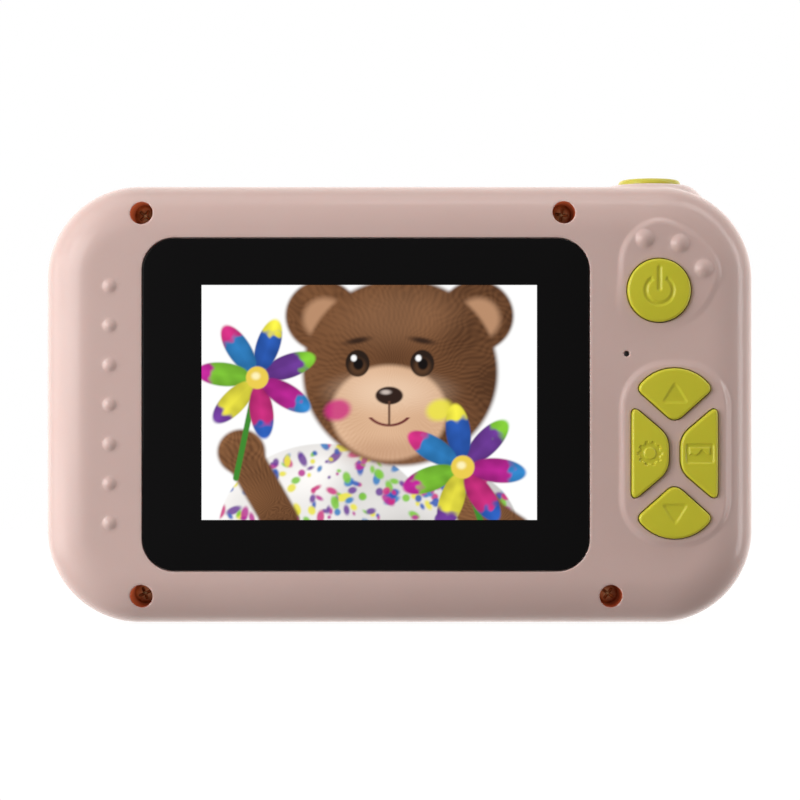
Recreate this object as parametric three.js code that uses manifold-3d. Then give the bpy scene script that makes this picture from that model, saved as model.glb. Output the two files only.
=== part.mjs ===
// A children's digital camera with a 2.4-inch screen, in millimetres.
// +Z is up and the camera stands on its bottom edge. +X is to the right of someone who looks at the
// screen, which faces -Y; the lens faces +Y. The origin is on the bottom face, halfway along and
// halfway through the case. Pieces are drawn about the middle of the case and lifted as one group.

import * as THREE from 'three';
import { mergeVertices } from 'three/addons/utils/BufferGeometryUtils.js';
import Module from 'manifold-3d';

const wasm = await Module();
wasm.setup();

// ---- Driving dimensions ----

const CASE = { width: 104, height: 64.3, depth: 24, corner: 13.7, wall: 1.8, face: 2 };
const PILLOW = { width: 7, depth: 6, steps: 3 };
const CORNER_STEPS = 6;
const KEY_STEPS = 6;
const REAR = -CASE.depth / 2;
const FRONT = CASE.depth / 2;
const REAR_INSIDE = REAR + CASE.face;
const FRONT_INSIDE = FRONT - CASE.wall;
const TOP = CASE.height / 2;

const SEAM = { y: 3, gap: 0.1, tongue: 1.2, tongueOut: 1, tongueIn: 1.7, rebateOut: 0.9 };

// GAP is between pieces that touch, FIT is round pieces that move or drop in, and ROOT is how far a
// boss or post runs into the wall that it stands on.
const GAP = 0.1;
const FIT = 0.2;
const ROOT = 0.5;

const WINDOW = {
  x: -4.9, z: 0, width: 64.9, height: 48.3, corner: 4.65, thick: 1, ledge: 1.15, edge: 0.15, sink: 0.05,
};
const PICTURE = { x: -4.4, z: 0.3, width: 48.8, height: 34.2, margin: 1.2, sightCorner: 0.8 };
const LCD = { left: -37.2, right: 23.1, low: -21.05, high: 21.65, panel: 1, backlight: 1.2 };
const HOLDER = { rim: 0.8, plate: 0.8, left: -36, play: 0.35 };
const FLEX = { film: 0.25, bend: 1.65, width: 12, lift: 0.4 };
const CONNECTOR = { left: -34, right: -30, half: 7, tall: 1.3 };

const CASE_SCREWS = [[-37.6, 27.9], [23.95, 28], [-37.6, -27.9], [30.8, -27.9]];
const CASE_SCREW = {
  bore: 1.65, depth: 7, seat: 1.8, through: 1, head: 1.5, headHeight: 1.2, shank: 0.85, length: 8,
};
const BOSS = { rear: 2.9, front: 2.2, pilot: 0.95, pilotDepth: 9 };

const DOTS = { x: -42.15, pitch: 5.75, count: 7, radius: 1, height: 0.5 };
const TOES = { places: [[35.65, 24.1], [40.75, 23.4], [44.2, 19.75]], radius: 1.25, height: 0.8 };
const RELIEF = { height: 0.4, soft: 0.7, root: 1 };
const NAV_PAD = { x: 40.05, z: -7.1, width: 15.5, height: 26.4, corner: 6.5 };

const POWER = { x: 37.7, z: 16.6, radius: 4.6, proud: 1 };
const NAV = { x: 39.95, z: -7.1, proud: 1.1 };
const FAN = { halfWidth: 5.5, top: 12.4, tip: 9.3, point: 4.4, tipSoft: 0.95, pointSoft: 1.5, arcPoints: 9 };
const SIDE = { outer: 6.25, inner: 0.85, tall: 7.1, short: 2.5, soft: 1.7 };
const FLANGE = { rim: 0.5, top: -9.55, thick: 0.5 };
const KEY_TRAVEL = 0.4;

const SHUTTER = {
  x: 37.55, radius: 4.65, height: 1.6, travel: 0.5,
  collarTop: 5.2, collarFoot: 7.6, collarHeight: 0.65, collarRoot: 1.6,
};
const SHUTTER_FLANGE = { radius: 5.05, high: 29.3, thick: 0.8 };
const SHUTTER_BOARD = { left: -6, right: 5, near: -4.5, far: 7, thick: 1 };
const SHELF = { left: -5.5, right: 5, near: 3.5, low: 22.6 };

const SWITCH = { size: 4.5, tall: 1.6, plunger: 1.1, proud: 0.7, bore: 1.2, sink: 0.6 };
const KEY_BOARD = { left: 29.5, right: 47.5, low: -22, high: 23, y: -6.6, thick: 1, corner: 2 };
const KEY_BOARD_POSTS = [[45.6, 8.6], [31.4, 11.9], [32.6, -19.2]];
const MICROPHONE = { x: 33.05, z: 7.4, radius: 2, tall: 1.4, hole: 0.45 };

const MAIN_BOARD = { left: -49, right: 26, low: -22, high: 22, y: -4.2, thick: 1, corner: 4 };
const MAIN_BOARD_POSTS = [[-44.5, 18], [22, 18], [22, -18], [-44.5, -18]];
const PROCESSOR = { left: 9, right: 19, half: 5, tall: 1 };
const POST = { radius: 1.7, pilot: 0.8, rearPilot: 2.6, frontPilot: 5 };
const BOARD_SCREW = { head: 1.3, headHeight: 0.7, shank: 0.65, hole: 0.9, short: 3, long: 5 };

const USB = {
  low: -10.3, high: -2.7, long: 5.6, tall: 2.7, skin: 0.4, mouth: 0.5, room: 0.35,
  tongueEnd: 1.5, tongueSet: 0.8, tongueHalf: 0.3,
};
const CARD = { low: 0.5, high: 13.5, long: 14.5, tall: 1.4, slot: 0.8, slotDepth: 12, end: 1, room: 0.2 };
const SIDE_INSIDE = -CASE.width / 2 + CASE.wall;
const DOOR = {
  near: -5.4, far: 1.2, half: 13.2, thick: 1.1, recess: 1.3, play: 0.2, pin: 0.35, pinHole: 0.42,
};

const LENS = {
  x: 0, z: 0, ring: 17, ringProud: 3.2, spigot: 12.2, bore: 10.2, seat: 11.3, seatDepth: 2,
  window: 11, windowThick: 1.2,
};
const BAFFLE = { hole: 4.4, play: 0.3, rim: 0.7, foot: 0.8 };
const BARREL = { radius: 4, bore: 2.8, high: 9.5, low: -0.9 };
const LENS_HOLDER = { half: 5.5, high: 4, bore: 4.15, pocket: 3.8, pocketHigh: -1.2 };
const SENSOR = { half: 3.2, tall: 0.9 };
const FLASH = { x: -22, z: 17, window: 3.2, led: 2.5, flange: 2.9, foot: 3.5, pitch: 2.54 };
const BATTERY = { left: -34, right: -7.5, low: -20.5, high: 12.5, thick: 6, corner: 1.5 };
const SPEAKER = { x: 30, z: -6, radius: 10, thick: 4, hole: 0.7, rings: [[0, 1], [3, 6], [6, 12]] };

// ---- Colours ----

const LOOKS = {
  shell: [0xdfb8b0, 0.4, 0],
  key: [0xc3c63a, 0.4, 0],
  blackGlass: [0x101112, 0.08, 0],
  clear: [0xdfe8ea, 0.05, 0],
  black: [0x1b1b1d, 0.5, 0],
  steel: [0x9a9da0, 0.35, 1],
  bronze: [0x4a352a, 0.4, 1],
  board: [0x1f6a45, 0.5, 0],
  film: [0xb56a2a, 0.5, 0],
  white: [0xe8e8e4, 0.5, 0],
  foil: [0xb9bdc4, 0.4, 0.3],
  silicone: [0xd9aaa2, 0.7, 0],
};

// ---- Solids from three.js geometry ----

function toSolid(geometry) {
  const bare = geometry.clone();
  bare.deleteAttribute('normal');
  bare.deleteAttribute('uv');
  const merged = mergeVertices(bare, 1e-4);
  return new wasm.Manifold(new wasm.Mesh({
    numProp: 3,
    vertProperties: merged.attributes.position.array,
    triVerts: new Uint32Array(merged.index.array),
  }));
}

function toGeometry(solid) {
  const mesh = solid.getMesh();
  const geometry = new THREE.BufferGeometry();
  geometry.setAttribute('position', new THREE.BufferAttribute(mesh.vertProperties, 3));
  geometry.setIndex(new THREE.BufferAttribute(mesh.triVerts, 1));
  geometry.computeVertexNormals();
  return geometry;
}

// An outline in x and z, made solid from yLow to yHigh. A soft rim rounds both ends.
function slab(outline, yLow, yHigh, options = {}) {
  const { steps = 4, rimWidth = 0, rimDepth = 0, rimSteps = 2 } = options;
  const geometry = new THREE.ExtrudeGeometry(outline, {
    depth: yHigh - yLow - 2 * rimDepth,
    curveSegments: steps,
    bevelEnabled: rimWidth > 0,
    bevelThickness: rimDepth,
    bevelSize: rimWidth,
    bevelOffset: -rimWidth,
    bevelSegments: rimSteps,
  });
  geometry.rotateX(Math.PI / 2);
  geometry.translate(0, yHigh - rimDepth, 0);
  return toSolid(geometry);
}

// The span that reaches half to each side of a middle.
function across(middle, half) {
  return [middle - half, middle + half];
}

// A box over a span in x, one in y and one in z.
function block(x, y, z) {
  const geometry = new THREE.BoxGeometry(x[1] - x[0], y[1] - y[0], z[1] - z[0]);
  geometry.translate((x[0] + x[1]) / 2, (y[0] + y[1]) / 2, (z[0] + z[1]) / 2);
  return toSolid(geometry);
}

// A round bar along Y.
function bar(radius, yLow, yHigh, x, z, sides = 16) {
  const geometry = new THREE.CylinderGeometry(radius, radius, yHigh - yLow, sides);
  geometry.translate(x, (yLow + yHigh) / 2, z);
  return toSolid(geometry);
}

// A round bar along Z; the foot's radius may differ from the top's.
function upright(topRadius, footRadius, zLow, zHigh, x, y, sides = 24) {
  const geometry = new THREE.CylinderGeometry(topRadius, footRadius, zHigh - zLow, sides);
  geometry.rotateX(Math.PI / 2);
  geometry.translate(x, y, (zLow + zHigh) / 2);
  return toSolid(geometry);
}

// A turned piece about a line along Y; the profile is a list of [radius, y].
function turned(profile, x, z, sides = 32) {
  const points = profile.map(([radius, y]) => new THREE.Vector2(radius, y));
  const geometry = new THREE.LatheGeometry(points, sides);
  geometry.translate(x, 0, z);
  return toSolid(geometry);
}

function joined(solids) {
  return solids.reduce((whole, next) => whole.add(next));
}

function cut(solid, tools) {
  return tools.reduce((left, tool) => left.subtract(tool), solid);
}

// ---- Outlines in x and z ----

function roundedRect(x, z, width, height, corner) {
  const shape = new THREE.Shape();
  const right = x + width / 2 - corner;
  const left = x - width / 2 + corner;
  const high = z + height / 2 - corner;
  const low = z - height / 2 + corner;
  const quarter = Math.PI / 2;
  shape.absarc(right, low, corner, -quarter, 0);
  shape.absarc(right, high, corner, 0, quarter);
  shape.absarc(left, high, corner, quarter, 2 * quarter);
  shape.absarc(left, low, corner, 2 * quarter, 3 * quarter);
  shape.closePath();
  return shape;
}

function grownRect({ x, z, width, height }, margin, corner) {
  return roundedRect(x, z, width + 2 * margin, height + 2 * margin, corner);
}

function caseOutline(inset) {
  return roundedRect(0, 0, CASE.width - 2 * inset, CASE.height - 2 * inset, CASE.corner - inset);
}

// A closed outline through [x, z, radius] corners, each cut back by its radius and curved. A corner
// without a radius stays as it is; the first one has a radius.
function softPolygon(corners) {
  const shape = new THREE.Shape();
  corners.forEach(([x, z, radius], i) => {
    const here = new THREE.Vector2(x, z);
    if (radius === 0) {
      shape.lineTo(x, z);
      return;
    }
    const before = cornerPoint(corners.at(i - 1)).sub(here).setLength(radius).add(here);
    const after = cornerPoint(corners[(i + 1) % corners.length]).sub(here).setLength(radius).add(here);
    if (i === 0) shape.moveTo(before.x, before.y);
    else shape.lineTo(before.x, before.y);
    shape.quadraticCurveTo(x, z, after.x, after.y);
  });
  shape.closePath();
  return shape;
}

function cornerPoint([x, z]) {
  return new THREE.Vector2(x, z);
}

// The arrow keys: an arc between two soft tips, and a blunt point towards the middle of the pad.
function fanOutline(up, grow) {
  const half = FAN.halfWidth + grow;
  const top = FAN.top + grow;
  const rise = top - FAN.tip;
  const radius = (half ** 2 + rise ** 2) / (2 * rise);
  const reach = Math.asin(half / radius);
  const last = FAN.arcPoints - 1;
  const at = (x, z, soft) => [NAV.x + x, NAV.z + up * z, soft];
  const arc = Array.from({ length: FAN.arcPoints }, (_, i) => {
    const angle = reach * (1 - (2 * i) / last);
    const soft = i === 0 || i === last ? FAN.tipSoft : 0;
    return at(radius * Math.sin(angle), top - radius * (1 - Math.cos(angle)), soft);
  });
  const point = at(0, FAN.point - 1.3 * grow, FAN.pointSoft);
  return softPolygon(up > 0 ? [point, ...arc] : [point, ...arc.reverse()]);
}

// The settings and playback keys: straight outer edge, sloped ends and a short inner edge.
function sideOutline(right, grow, outerGrow) {
  const { outer, inner, tall, short, soft } = SIDE;
  const at = (x, z) => [NAV.x + right * x, NAV.z + z, soft];
  const corners = [
    at(outer + outerGrow, -tall - 2 * grow),
    at(outer + outerGrow, tall + 2 * grow),
    at(inner - grow, short + 0.4 * grow),
    at(inner - grow, -short - 0.4 * grow),
  ];
  return softPolygon(right > 0 ? corners : corners.reverse());
}

// The paw-shaped pad around the power button.
function pawOutline() {
  return softPolygon([
    [31.6, 12, 3], [37.6, 10.4, 3], [44, 13, 3], [47.1, 19.6, 2.4],
    [43.6, 24.6, 3], [37.2, 27.6, 3.2], [32.4, 23.8, 2.8],
  ]);
}

function discOutline(x, z, radius) {
  const shape = new THREE.Shape();
  shape.absarc(x, z, radius, 0, 2 * Math.PI);
  return shape;
}

// ---- The case ----

// A block of the case's outline, set in by inset, with the soft pillowed edges of its two faces.
function pillowBlock(inset, yLow, yHigh, rimDepth) {
  return slab(caseOutline(inset), yLow, yHigh, {
    steps: CORNER_STEPS,
    rimWidth: PILLOW.width - inset,
    rimDepth,
    rimSteps: PILLOW.steps,
  });
}

function dome(x, z, radius, height) {
  const foot = REAR + RELIEF.root;
  const shoulder = [radius * 0.72, REAR - height * 0.7];
  return turned([[0, REAR - height], shoulder, [radius, REAR], [radius, foot], [0, foot]], x, z, 8);
}

function reliefSolids() {
  const rim = { rimWidth: RELIEF.soft, rimDepth: RELIEF.height * 0.9, rimSteps: 2 };
  const low = REAR - RELIEF.height;
  const high = REAR + RELIEF.root + RELIEF.height;
  const navPad = roundedRect(NAV_PAD.x, NAV_PAD.z, NAV_PAD.width, NAV_PAD.height, NAV_PAD.corner);
  const dots = Array.from({ length: DOTS.count }, (_, i) => {
    const z = (i - (DOTS.count - 1) / 2) * DOTS.pitch;
    return dome(DOTS.x, z, DOTS.radius, DOTS.height);
  });
  const toes = TOES.places.map(([x, z]) => dome(x, z, TOES.radius, TOES.height + RELIEF.height));
  return [slab(navPad, low, high, rim), slab(pawOutline(), low, high, rim), ...dots, ...toes];
}

const OUTER_BLOCK = pillowBlock(0, REAR, FRONT, PILLOW.depth);

function caseSolid() {
  const collarHigh = TOP + SHUTTER.collarHeight;
  const collarLow = TOP - SHUTTER.collarRoot;
  const collar = upright(SHUTTER.collarTop, SHUTTER.collarFoot, collarLow, collarHigh, SHUTTER.x, 0);
  const hollow = pillowBlock(CASE.wall, REAR_INSIDE, FRONT_INSIDE, PILLOW.depth - CASE.face);
  return cut(joined([OUTER_BLOCK, collar, ...reliefSolids()]), [hollow]);
}

function sideOf(solid, yLow, yHigh) {
  const reach = CASE.width;
  return solid.intersect(block([-reach, reach], [yLow, yHigh], [-reach, reach]));
}

function ring(outline, hole, yLow, yHigh) {
  const steps = { steps: CORNER_STEPS };
  return slab(outline, yLow, yHigh, steps).subtract(slab(hole, yLow - 1, yHigh + 1, steps));
}

function keyOutlines(grow, outerGrow = grow) {
  return {
    up_key: fanOutline(1, grow),
    down_key: fanOutline(-1, grow),
    settings_key: sideOutline(-1, grow, outerGrow),
    playback_key: sideOutline(1, grow, outerGrow),
    power_button: discOutline(POWER.x, POWER.z, POWER.radius + grow),
  };
}

function doorRecess() {
  const left = -CASE.width / 2;
  const high = DOOR.half + DOOR.play;
  const y = [DOOR.near - DOOR.play, DOOR.far + DOOR.play];
  const through = [left - 1, SIDE_INSIDE + 1];
  const portY = across(portHeight(USB.tall), USB.tall / 2 + USB.room);
  const slotY = across(portHeight(CARD.tall), CARD.slot / 2 + CARD.room);
  return [
    block([left - 3, left + DOOR.recess], y, [-high, high]),
    block(through, portY, [USB.low - USB.mouth, USB.high + USB.mouth]),
    block(through, slotY, [CARD.low + CARD.end, CARD.high - CARD.end]),
    bar(DOOR.pinHole, y[0] - 1, y[1] + 1, doorAxis().x, doorAxis().z, 10),
  ];
}

function doorAxis() {
  return { x: -CASE.width / 2 + DOOR.thick / 2, z: DOOR.half - DOOR.thick / 2 };
}

// Where the middle of a part that stands on the main board's lens side lies.
function portHeight(tall) {
  return MAIN_BOARD.y + MAIN_BOARD.thick + GAP + tall / 2;
}

function rearCover(whole) {
  const seat = REAR + CASE_SCREW.depth;
  const seatEnd = seat + CASE_SCREW.seat;
  const root = REAR_INSIDE - ROOT;
  const bosses = CASE_SCREWS.map(([x, z]) => bar(BOSS.rear, root, seatEnd, x, z));
  const posts = KEY_BOARD_POSTS.map(([x, z]) => bar(POST.radius, root, KEY_BOARD.y - GAP, x, z, 10));
  const inside = joined([...bosses, ...posts]).intersect(OUTER_BLOCK);
  const shell = sideOf(whole, REAR - 3, SEAM.y - SEAM.gap / 2).add(inside);
  const windowPocket = grownRect(WINDOW, WINDOW.edge, WINDOW.corner + WINDOW.edge);
  const sight = grownRect(PICTURE, PICTURE.margin, PICTURE.sightCorner);
  const rebateLow = SEAM.y - SEAM.tongue - GAP;
  const rebate = ring(caseOutline(SEAM.rebateOut), caseOutline(CASE.wall + 1), rebateLow, SEAM.y + 1);
  const bores = CASE_SCREWS.flatMap(([x, z]) => [
    bar(CASE_SCREW.bore, REAR - 1, seat, x, z),
    bar(CASE_SCREW.through, seat - 1, seatEnd + 1, x, z, 12),
  ]);
  const pilotEnd = KEY_BOARD.y - POST.rearPilot;
  const pilots = KEY_BOARD_POSTS.map(([x, z]) => bar(POST.pilot, pilotEnd, KEY_BOARD.y + 1, x, z, 8));
  const keyHoles = Object.values(keyOutlines(FIT)).map((outline) => (
    slab(outline, REAR - 2, REAR_INSIDE + 2, { steps: KEY_STEPS })
  ));
  return cut(shell, [
    slab(windowPocket, REAR - 2, REAR + WINDOW.ledge),
    slab(sight, REAR - 2, REAR_INSIDE + 1, { steps: 2 }),
    bar(MICROPHONE.hole, REAR - 2, REAR_INSIDE + 1, MICROPHONE.x, MICROPHONE.z, 10),
    upright(SHUTTER.radius + FIT, SHUTTER.radius + FIT, TOP - 4, TOP + 3, SHUTTER.x, 0),
    rebate,
    ...bores,
    ...pilots,
    ...keyHoles,
    ...doorRecess(),
  ]);
}

function frontHousing(whole) {
  const seatEnd = REAR + CASE_SCREW.depth + CASE_SCREW.seat + FIT;
  const boardEnd = MAIN_BOARD.y + MAIN_BOARD.thick + GAP;
  const root = FRONT_INSIDE + ROOT;
  const bosses = CASE_SCREWS.map(([x, z]) => bar(BOSS.front, seatEnd, root, x, z));
  const posts = MAIN_BOARD_POSTS.map(([x, z]) => bar(POST.radius, boardEnd, root, x, z, 10));
  const shelfX = [SHUTTER.x + SHELF.left, SHUTTER.x + SHELF.right];
  const shelf = block(shelfX, [SHELF.near, root], [SHELF.low, shutterBoardLow() - GAP]);
  const tongueLow = SEAM.y - SEAM.tongue;
  const tongue = ring(caseOutline(SEAM.tongueOut), caseOutline(SEAM.tongueIn), tongueLow, SEAM.y + 1);
  const grille = SPEAKER.rings.flatMap(([radius, count]) => Array.from({ length: count }, (_, i) => {
    const angle = (i / count) * 2 * Math.PI;
    const x = SPEAKER.x + radius * Math.cos(angle);
    return bar(SPEAKER.hole, FRONT_INSIDE - 1, FRONT + 1, x, SPEAKER.z + radius * Math.sin(angle), 6);
  }));
  const pilotEnd = seatEnd + BOSS.pilotDepth;
  const pilots = CASE_SCREWS.map(([x, z]) => bar(BOSS.pilot, seatEnd - 1, pilotEnd, x, z, 10));
  const smallPilots = MAIN_BOARD_POSTS.map(([x, z]) => (
    bar(POST.pilot, boardEnd - 1, boardEnd + POST.frontPilot, x, z, 8)
  ));
  const inside = joined([tongue, ...bosses, ...posts, shelf]).intersect(OUTER_BLOCK);
  return cut(sideOf(whole, SEAM.y + SEAM.gap / 2, FRONT + 3).add(inside), [
    upright(SHUTTER.radius + FIT, SHUTTER.radius + FIT, TOP - 4, TOP + 3, SHUTTER.x, 0),
    bar(LENS.spigot + FIT, FRONT_INSIDE - 1, FRONT + 1, LENS.x, LENS.z, 32),
    bar(FLASH.window + FIT, FRONT_INSIDE - 1, FRONT + 1, FLASH.x, FLASH.z, 20),
    ...grille,
    ...pilots,
    ...smallPilots,
  ]);
}

// ---- Screen ----

function displayWindow() {
  const outline = roundedRect(WINDOW.x, WINDOW.z, WINDOW.width, WINDOW.height, WINDOW.corner);
  return slab(outline, REAR + WINDOW.sink, REAR + WINDOW.sink + WINDOW.thick);
}

function lcdLayer(from, thick) {
  return block([LCD.left, LCD.right], [from, from + thick], [LCD.low, LCD.high]);
}

const PANEL_Y = REAR_INSIDE + FIT;
const BACKLIGHT_Y = PANEL_Y + LCD.panel + GAP;
const HOLDER_Y = BACKLIGHT_Y + LCD.backlight + GAP;

function lcdHolder() {
  const high = LCD.high + HOLDER.play;
  const low = LCD.low - HOLDER.play;
  const right = LCD.right + HOLDER.play;
  const trayY = [PANEL_Y, HOLDER_Y + HOLDER.plate];
  const tray = block([HOLDER.left, right + HOLDER.rim], trayY, [low - HOLDER.rim, high + HOLDER.rim]);
  return tray.subtract(block([HOLDER.left - 5, right], [PANEL_Y - 1, HOLDER_Y], [low, high]));
}

// A flat film that leaves the left edge of the panel, bends back and ends over its connector.
function lcdFlex() {
  const { film, bend, width, lift } = FLEX;
  const start = LCD.left - FIT;
  const middle = PANEL_Y + lift + bend;
  const centre = start - 1;
  const profile = new THREE.Shape();
  const quarter = Math.PI / 2;
  profile.moveTo(start, middle - bend);
  profile.absarc(centre, middle, bend, -quarter, -3 * quarter, true);
  profile.lineTo(CONNECTOR.right, middle + bend);
  profile.lineTo(CONNECTOR.right, middle + bend - film);
  profile.absarc(centre, middle, bend - film, quarter, 3 * quarter, false);
  profile.lineTo(start, middle - bend + film);
  profile.closePath();
  const options = { depth: width, bevelEnabled: false, curveSegments: 6 };
  const geometry = new THREE.ExtrudeGeometry(profile, options);
  geometry.translate(0, 0, -width / 2);
  return toSolid(geometry);
}

function lcdConnector() {
  const high = MAIN_BOARD.y - GAP;
  return block([CONNECTOR.left, CONNECTOR.right], [high - CONNECTOR.tall, high], across(0, CONNECTOR.half));
}

// ---- Keys and switches ----

// A key's cap runs through the cover; its flange sits behind the cover and pushes the switch. The
// flanges of the side keys have no rim on their outer edges, where the pillowed wall is near.
function key(name, proud) {
  const steps = { steps: KEY_STEPS };
  const cap = slab(keyOutlines(0)[name], REAR - proud, FLANGE.top + 0.1, steps);
  const flange = slab(keyOutlines(FLANGE.rim, 0)[name], FLANGE.top, FLANGE.top + FLANGE.thick, steps);
  return cap.add(flange);
}

const SWITCH_REACH = { arrows: 9, sides: 3.85 };
const SWITCH_PLACES = {
  power: [POWER.x, POWER.z],
  up: [NAV.x, NAV.z + SWITCH_REACH.arrows],
  down: [NAV.x, NAV.z - SWITCH_REACH.arrows],
  settings: [NAV.x - SWITCH_REACH.sides, NAV.z],
  playback: [NAV.x + SWITCH_REACH.sides, NAV.z],
};

// A switch's body stands on the board at y = foot and is open where its plunger slides.
function tactSwitch(x, z, foot) {
  const half = SWITCH.size / 2;
  const top = foot - SWITCH.tall;
  const body = block([x - half, x + half], [top, foot], [z - half, z + half]);
  return body.subtract(bar(SWITCH.bore, top - 1, top + SWITCH.sink + KEY_TRAVEL + GAP, x, z, 14));
}

function plunger(x, z, foot) {
  const top = foot - SWITCH.tall;
  return bar(SWITCH.plunger, top - SWITCH.proud + GAP, top + SWITCH.sink, x, z, 14);
}

function shutterCap() {
  const high = TOP + SHUTTER.height;
  const flangeLow = SHUTTER_FLANGE.high - SHUTTER_FLANGE.thick;
  const profile = [
    [0, flangeLow], [SHUTTER_FLANGE.radius, flangeLow], [SHUTTER_FLANGE.radius, SHUTTER_FLANGE.high],
    [SHUTTER.radius, SHUTTER_FLANGE.high], [SHUTTER.radius, high - 0.9], [SHUTTER.radius - 0.3, high - 0.35],
    [SHUTTER.radius - 1.1, high - 0.08], [0, high],
  ];
  const geometry = new THREE.LatheGeometry(profile.map(([radius, z]) => new THREE.Vector2(radius, z)), 28);
  geometry.rotateX(Math.PI / 2);
  geometry.translate(SHUTTER.x, 0, 0);
  return toSolid(geometry);
}

function shutterSwitchFoot() {
  return SHUTTER_FLANGE.high - SHUTTER_FLANGE.thick - GAP - SWITCH.proud - SWITCH.tall;
}

function shutterBoardLow() {
  return shutterSwitchFoot() - GAP - SHUTTER_BOARD.thick;
}

function shutterSwitch() {
  const half = SWITCH.size / 2;
  const foot = shutterSwitchFoot();
  const body = block([SHUTTER.x - half, SHUTTER.x + half], [-half, half], [foot, foot + SWITCH.tall]);
  const top = foot + SWITCH.tall;
  const depth = SWITCH.sink + SHUTTER.travel + GAP;
  return body.subtract(upright(SWITCH.bore, SWITCH.bore, top - depth, top + 1, SHUTTER.x, 0, 14));
}

function shutterPlunger() {
  const top = shutterSwitchFoot() + SWITCH.tall;
  return upright(SWITCH.plunger, SWITCH.plunger, top - SWITCH.sink, top + SWITCH.proud, SHUTTER.x, 0, 14);
}

function shutterBoard() {
  const { left, right, near, far, thick } = SHUTTER_BOARD;
  const low = shutterBoardLow();
  return block([SHUTTER.x + left, SHUTTER.x + right], [near, far], [low, low + thick]);
}

// ---- Boards and what stands on them ----

function plateOutline({ left, right, low, high, corner }) {
  return roundedRect((left + right) / 2, (low + high) / 2, right - left, high - low, corner);
}

function board(size, posts) {
  const outline = plateOutline(size);
  const holes = posts.map(([x, z]) => bar(BOARD_SCREW.hole, size.y - 1, size.y + size.thick + 1, x, z, 10));
  return cut(slab(outline, size.y, size.y + size.thick, { steps: 3 }), holes);
}

// A pan-head screw along Y. way is +1 where the shank points to +Y, and -1 where it points to -Y.
function screw(size, length, x, z, seat, way) {
  const span = (from, to) => [seat - way * from, seat - way * to].sort((a, b) => a - b);
  const [headLow, headHigh] = span(GAP / 2, size.headHeight);
  const [shankLow, shankHigh] = span(-length, size.headHeight / 4);
  const socket = size.head * 0.62;
  const [slotLow, slotHigh] = span(size.headHeight * 0.55, size.headHeight + 1);
  const head = bar(size.head, headLow, headHigh, x, z, 14);
  const shank = bar(size.shank, shankLow, shankHigh, x, z, 8);
  const slot = size.head * 0.14;
  return cut(head.add(shank), [
    block([x - socket, x + socket], [slotLow, slotHigh], [z - slot, z + slot]),
    block([x - slot, x + slot], [slotLow, slotHigh], [z - socket, z + socket]),
  ]);
}

function microphone() {
  const high = KEY_BOARD.y - GAP;
  return bar(MICROPHONE.radius, high - MICROPHONE.tall, high, MICROPHONE.x, MICROPHONE.z, 14);
}

// A block that stands on the main board's lens side.
function onBoard(x, z, tall) {
  const foot = MAIN_BOARD.y + MAIN_BOARD.thick + GAP;
  return block(x, [foot, foot + tall], z);
}

function processorChip() {
  const { left, right, half, tall } = PROCESSOR;
  return onBoard([left, right], across(0, half), tall);
}

function usbConnector() {
  const left = SIDE_INSIDE + FIT;
  const middle = portHeight(USB.tall);
  const half = USB.tall / 2 - USB.skin;
  const end = left + USB.long;
  const outer = onBoard([left, end], [USB.low, USB.high], USB.tall);
  const mouthZ = [USB.low + USB.skin, USB.high - USB.skin];
  const mouth = block([left - 1, end - USB.skin], across(middle, half), mouthZ);
  const tongueZ = [USB.low + USB.tongueEnd, USB.high - USB.tongueEnd];
  const tongue = block([left + USB.tongueSet, end - USB.skin / 2], across(middle, USB.tongueHalf), tongueZ);
  return outer.subtract(mouth).add(tongue);
}

function memoryCardSocket() {
  const left = SIDE_INSIDE + FIT;
  const middle = portHeight(CARD.tall);
  const half = CARD.slot / 2;
  const outer = onBoard([left, left + CARD.long], [CARD.low, CARD.high], CARD.tall);
  const slotZ = [CARD.low + CARD.end, CARD.high - CARD.end];
  return outer.subtract(block([left - 1, left + CARD.slotDepth], across(middle, half), slotZ));
}

function portCover() {
  const left = -CASE.width / 2;
  const axis = doorAxis();
  const half = DOOR.thick / 2;
  const y = [DOOR.near, DOOR.far];
  const leaf = block([left, left + DOOR.thick], y, [-DOOR.half, axis.z]);
  const barrel = bar(half, y[0], y[1], axis.x, axis.z, 16);
  return leaf.add(barrel).subtract(bar(DOOR.pinHole, y[0] - 1, y[1] + 1, axis.x, axis.z, 10));
}

function portCoverPin() {
  const axis = doorAxis();
  return bar(DOOR.pin, DOOR.near - 0.9, DOOR.far + 0.9, axis.x, axis.z, 10);
}

// ---- Lens side ----

function lensRing() {
  const out = FRONT + LENS.ringProud;
  const seat = out - LENS.seatDepth;
  const low = FRONT_INSIDE - 2 * FIT;
  const profile = [
    [LENS.bore, low], [LENS.spigot, low], [LENS.spigot, FRONT + GAP],
    [LENS.ring, FRONT + GAP], [LENS.ring, out - 1.6], [LENS.ring - 0.5, out - 0.5], [LENS.ring - 1.6, out],
    [LENS.seat + 1.4, out], [LENS.seat, out - 0.6], [LENS.seat, seat], [LENS.bore, seat], [LENS.bore, low],
  ];
  return turned(profile, LENS.x, LENS.z, 32);
}

function lensWindow() {
  const seat = FRONT + LENS.ringProud - LENS.seatDepth;
  return bar(LENS.window, seat + GAP, seat + LENS.windowThick, LENS.x, LENS.z, 40);
}

// A black funnel between the window and the barrel.
function lensBaffle() {
  const high = FRONT + LENS.ringProud - LENS.seatDepth - GAP;
  const low = FRONT_INSIDE - 1;
  const outer = LENS.bore - BAFFLE.play;
  const rim = outer - BAFFLE.rim;
  const foot = low + BAFFLE.foot;
  const profile = [
    [BAFFLE.hole, low], [outer, low], [outer, high], [rim, high], [BAFFLE.hole, foot], [BAFFLE.hole, low],
  ];
  return turned(profile, LENS.x, LENS.z, 32);
}

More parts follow.
